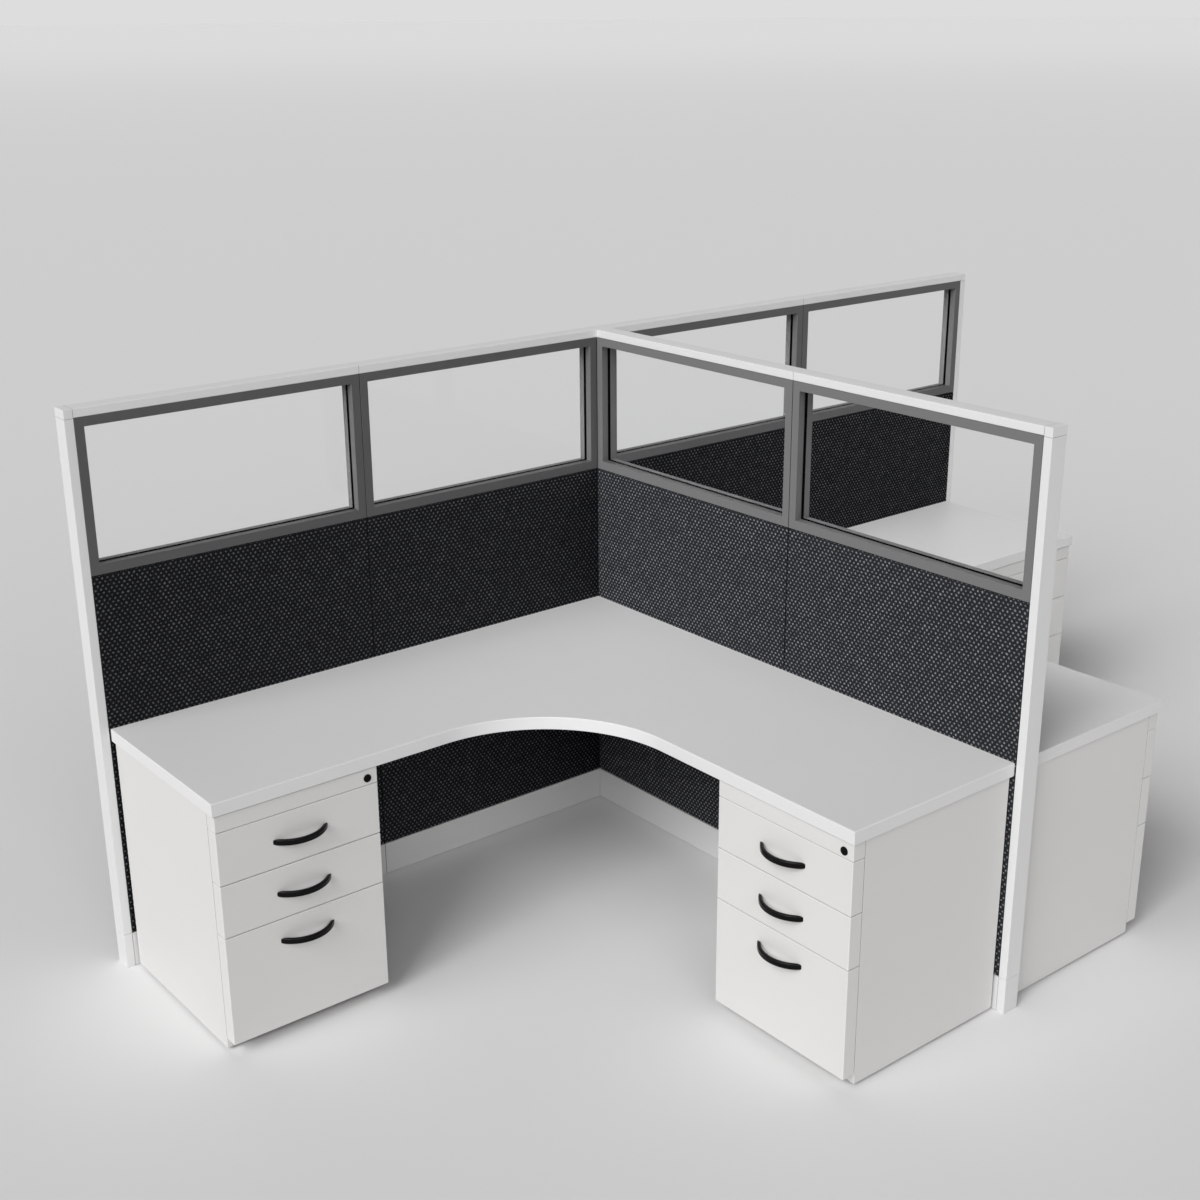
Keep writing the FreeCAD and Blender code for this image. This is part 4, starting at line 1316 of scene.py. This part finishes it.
    def drawer(self, drawer: Drawer) -> None:
        """One drawer: front, open box with hemmed sides, moving slides and handle.

        Args:
            drawer: Which drawer.
        """
        low, high, tall, drop = drawer.value
        name = f"{self.name}_{drawer.label}"
        body = f"{name}_drawer"
        shape = Shape()
        self.front(shape, low, high)
        floor = low + self.floor_rise
        start, back, half, skin = self.front_depth, self.drawer_back, self.drawer_half, self.sheet
        wall, rim = half - skin, floor + tall
        hem, fold = self.hem
        shape.block((-wall, start, floor), (wall, back, floor + skin), 0.0)
        for side in (-1, 1):
            near, far = sorted((half * side, wall * side))
            shape.block((near, start, floor), (far, back, rim), SHEET_EDGE)
            near, far = sorted((wall * side, (wall - skin * fold) * side))
            shape.block((near, start, rim - hem), (far, back - skin, rim), self.fold_edge)
        shape.block((-wall, back - skin, floor + skin), (wall, back, rim), SHEET_EDGE)
        shape.set_down(f"{name}_box", self.place, Slot.STEEL, body, [body])
        slides = Shape()
        level, reach = low + self.slide_rise, self.slide_reach
        setback, length = self.slide_run
        sheet, radius = self.slide_sheet, self.slide_edge
        for side in (-1, 1):
            web, lip = (half * side, level - reach), (self.slide_lip * side, level + reach)
            slides.channel(web, lip, sheet, 1, start + setback, length, radius)
        slides.set_down(f"{name}_slides", self.place, Slot.ZINC, body)
        handle = Bow(high - drop).build()
        handle.set_down(f"{name}_bow", self.place, Slot.HANDLE, body, [f"{name}_handle"])

    def build(self) -> None:
        """Make every piece of the pedestal."""
        self.case()
        self.lock()
        for drawer in Drawer:
            self.drawer(drawer)


@dataclass
class Glides:
    """Levelling glides under the panel legs and the pedestals."""

    walls: Walls
    pedestals: Sequence[Pedestal]
    wall_reach: float = 20.0
    pedestal_reach: float = 39.5
    leg_inset: float = 12.5
    steps: int = 20

    def add_glides(self, places: Iterable[Flat], reach: float, whole: Shape, place: Matrix) -> None:
        """Add glides to a shape, each with a foot, a lock nut and a threaded stem.

        Args:
            places: Where they stand, in their sub-assembly's frame.
            reach: Level that the stems meet.
            whole: The shape that collects every glide.
            place: Matrix from their sub-assembly's frame.
        """
        own = Shape()
        profile = [(0.0, 0.0), (10.4, 0.0), (11.0, 0.6), (11.0, 3.4), (9.8, 4.6), (6.4, 5.0)]
        profile += [(6.4, 8.4), (5.0, 8.8)]
        profile += [(4.9 - 0.5 * (step % 2), 9.6 + step) for step in range(int(reach - 10.5))]
        profile += [(4.6, reach), (0.0, reach)]
        for x, y in places:
            own.lathe(profile, (x, y, 0.0), UP, self.steps)
        own.move_into(whole, place)

    def build(self) -> None:
        """Make all glides as one piece."""
        whole = Shape()
        inset = self.leg_inset
        for run in self.walls.runs:
            legs = [(x, 0.0) for start, end in run.panels for x in (start + inset, end - inset)]
            self.add_glides(legs, self.wall_reach, whole, run.place)
        for pedestal in self.pedestals:
            self.add_glides(pedestal.corners, self.pedestal_reach, whole, pedestal.place)
        whole.set_down("glides", Matrix.Identity(4), Slot.ZINC, ROOT, ["levelling_glides"])


@dataclass(frozen=True)
class Lamp:
    """A distant soft lamp of the studio, by its bearing and height in degrees."""

    name: str
    bearing: float
    height: float
    strength: float
    softness: float = 30.0

    def build(self) -> None:
        """Hang the lamp."""
        data = bpy.data.lights.new(self.name, "SUN")
        data.energy = self.strength
        data.angle = math.radians(self.softness)
        lamp = bpy.data.objects.new(self.name, data)
        turn, lift = math.radians(self.bearing), math.radians(self.height)
        across = Vector((math.sin(turn), -math.cos(turn), 0.0)) * math.cos(lift)
        lamp.rotation_mode = "QUATERNION"
        lamp.rotation_quaternion = (across + UP * math.sin(lift)).to_track_quat("Z", "Y")
        bpy.context.scene.collection.objects.link(lamp)


@dataclass
class Studio:
    """Floor, surroundings, lamps and camera."""

    floor_reach: float = 600.0
    floor_colour: Colour = grey(0.736)
    sky: float = 0.01
    shown_sky: float = 0.723
    mirrored_sky: Flat = (0.10, 1.34)
    mirrored_middle: Flat = (0.27, 0.73)
    bright_side: Point = (-0.78, 0.63, 0.0)
    lamps: tuple[Lamp, ...] = (
        Lamp("MainLamp", 292.0, 35.0, 1.77),
        Lamp("FrontLamp", 340.0, 30.0, 0.72),
        Lamp("LeftLamp", 270.0, 35.0, 0.50),
        Lamp("HighLamp", 270.0, 50.0, 0.50),
        Lamp("LowLamp", 315.0, 22.0, 0.29),
        Lamp("CornerLamp", 315.0, 35.0, 0.11),
        Lamp("RearLamp", 180.0, 10.0, 0.06),
        Lamp("SideLamp", 90.0, 6.0, 0.30),
    )
    eye: Point = (-3.35511, -3.29075, 2.60751)
    bearing: float = 38.7957
    dip: float = 19.417
    roll: float = -0.4222
    lens: float = 49.898
    sensor: float = 36.0
    clip: Flat = (0.1, 2000.0)

    def floor(self) -> None:
        """Lay the floor."""
        bm = bmesh.new()
        bmesh.ops.create_grid(bm, x_segments=4, y_segments=4, size=self.floor_reach)
        data = bpy.data.meshes.new("studio_floor")
        bm.to_mesh(data)
        bm.free()
        data.materials.append(GroundFinish("FloorPale", self.floor_colour).build())
        ground = bpy.data.objects.new("studio_floor", data)
        bpy.context.scene.collection.objects.link(ground)

    def surroundings(self) -> None:
        """Set the even light of the surroundings, the pale background and what gloss mirrors."""
        n = Nodes(bpy.data.worlds.new("StudioWorld"), "OutputWorld")
        white = rgba(grey(1.0))
        light = n.add("Background", {"Color": white, "Strength": self.sky})
        shown = n.add("Background", {"Color": white, "Strength": self.shown_sky})
        way = n.add("TexCoord").outputs["Generated"]
        along = n.measure("DOT_PRODUCT", way, self.bright_side)
        ramp = n.add("ValToRGB", {0: n.remap(along, (-1.0, 1.0), (0.0, 1.0))})
        dark, bright = self.mirrored_sky
        first, last = self.mirrored_middle
        middle = self.shown_sky / bright
        levels = {0.0: dark / bright, first: middle, last: middle, 1.0: 1.0}
        for place in self.mirrored_middle:
            ramp.color_ramp.elements.new(place)
        for stop, (place, level) in zip(ramp.color_ramp.elements, levels.items()):
            stop.position = place
            stop.color = rgba(grey(level))
        mirrored = n.add("Background", {"Color": ramp.outputs[0], "Strength": bright})
        ray = n.add("LightPath").outputs
        lit = {0: ray["Is Glossy Ray"], 1: light.outputs[0], 2: mirrored.outputs[0]}
        seen = n.maths("MAXIMUM", ray["Is Camera Ray"], ray["Is Transmission Ray"])
        shine = n.add("MixShader", lit)
        mix = n.add("MixShader", {0: seen, 1: shine.outputs[0], 2: shown.outputs[0]})
        bpy.context.scene.world = n.close(mix)

    def camera(self) -> None:
        """Set the camera where the photograph was taken from."""
        data = bpy.data.cameras.new("StudioCamera")
        data.lens = self.lens
        data.sensor_width = self.sensor
        data.sensor_fit = "AUTO"
        data.clip_start, data.clip_end = self.clip
        eye = bpy.data.objects.new("StudioCamera", data)
        turn, dip, roll = (math.radians(value) for value in (self.bearing, self.dip, self.roll))
        level = Vector((math.cos(turn), -math.sin(turn), 0.0))
        ahead = Vector((math.sin(turn), math.cos(turn), 0.0)) * math.cos(dip) - UP * math.sin(dip)
        upright = level.cross(ahead)
        right = level * math.cos(roll) + upright * math.sin(roll)
        above = upright * math.cos(roll) - level * math.sin(roll)
        turned = Matrix((right, above, -ahead)).transposed().to_4x4()
        eye.matrix_world = Matrix.Translation(self.eye) @ turned
        bpy.context.scene.collection.objects.link(eye)
        bpy.context.scene.camera = eye

    def build(self) -> None:
        """Set up the studio."""
        self.floor()
        self.surroundings()
        for lamp in self.lamps:
            lamp.build()
        self.camera()
        bpy.context.scene.view_settings.view_transform = "Standard"


PEDESTALS = (
    Pedestal("left_spine", -1520.5, 250.0, 0.0, False),
    Pedestal("left_wing", -633.0, -637.5, -90.0, False),
    Pedestal("right_wing", 633.0, -637.5, 90.0, True),
    Pedestal("right_spine", 1520.5, 250.0, 0.0, True),
)
CARRIED_OVER = {
    Slot.TUBE: ("panel_frames",),
    Slot.ZINC: ("cleats", "runners"),
}


def dress_carried_nodes() -> None:
    """Give the nodes that still show their finishes."""
    for name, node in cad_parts.items():
        if node.hide_render:
            continue
        slot = next((key for key, ends in CARRIED_OVER.items() if name.endswith(ends)), None)
        if slot is None:
            log.warning("node %s has no finish of its own", name)
            continue
        node.data.materials.clear()
        node.data.materials.append(material_for(slot))
        log.info("node %s keeps its shape in %s", name, slot.value)


def main() -> None:
    """Build the studio and the workstation."""
    logging.basicConfig(level=logging.INFO, format="%(message)s")
    Studio().build()
    walls = Walls()
    walls.build()
    for side, mirrored in (("left", False), ("right", True)):
        Worksurface(side, mirrored).build()
    for pedestal in PEDESTALS:
        pedestal.build()
    Glides(walls, PEDESTALS).build()
    dress_carried_nodes()


if __name__ == "__main__":
    main()
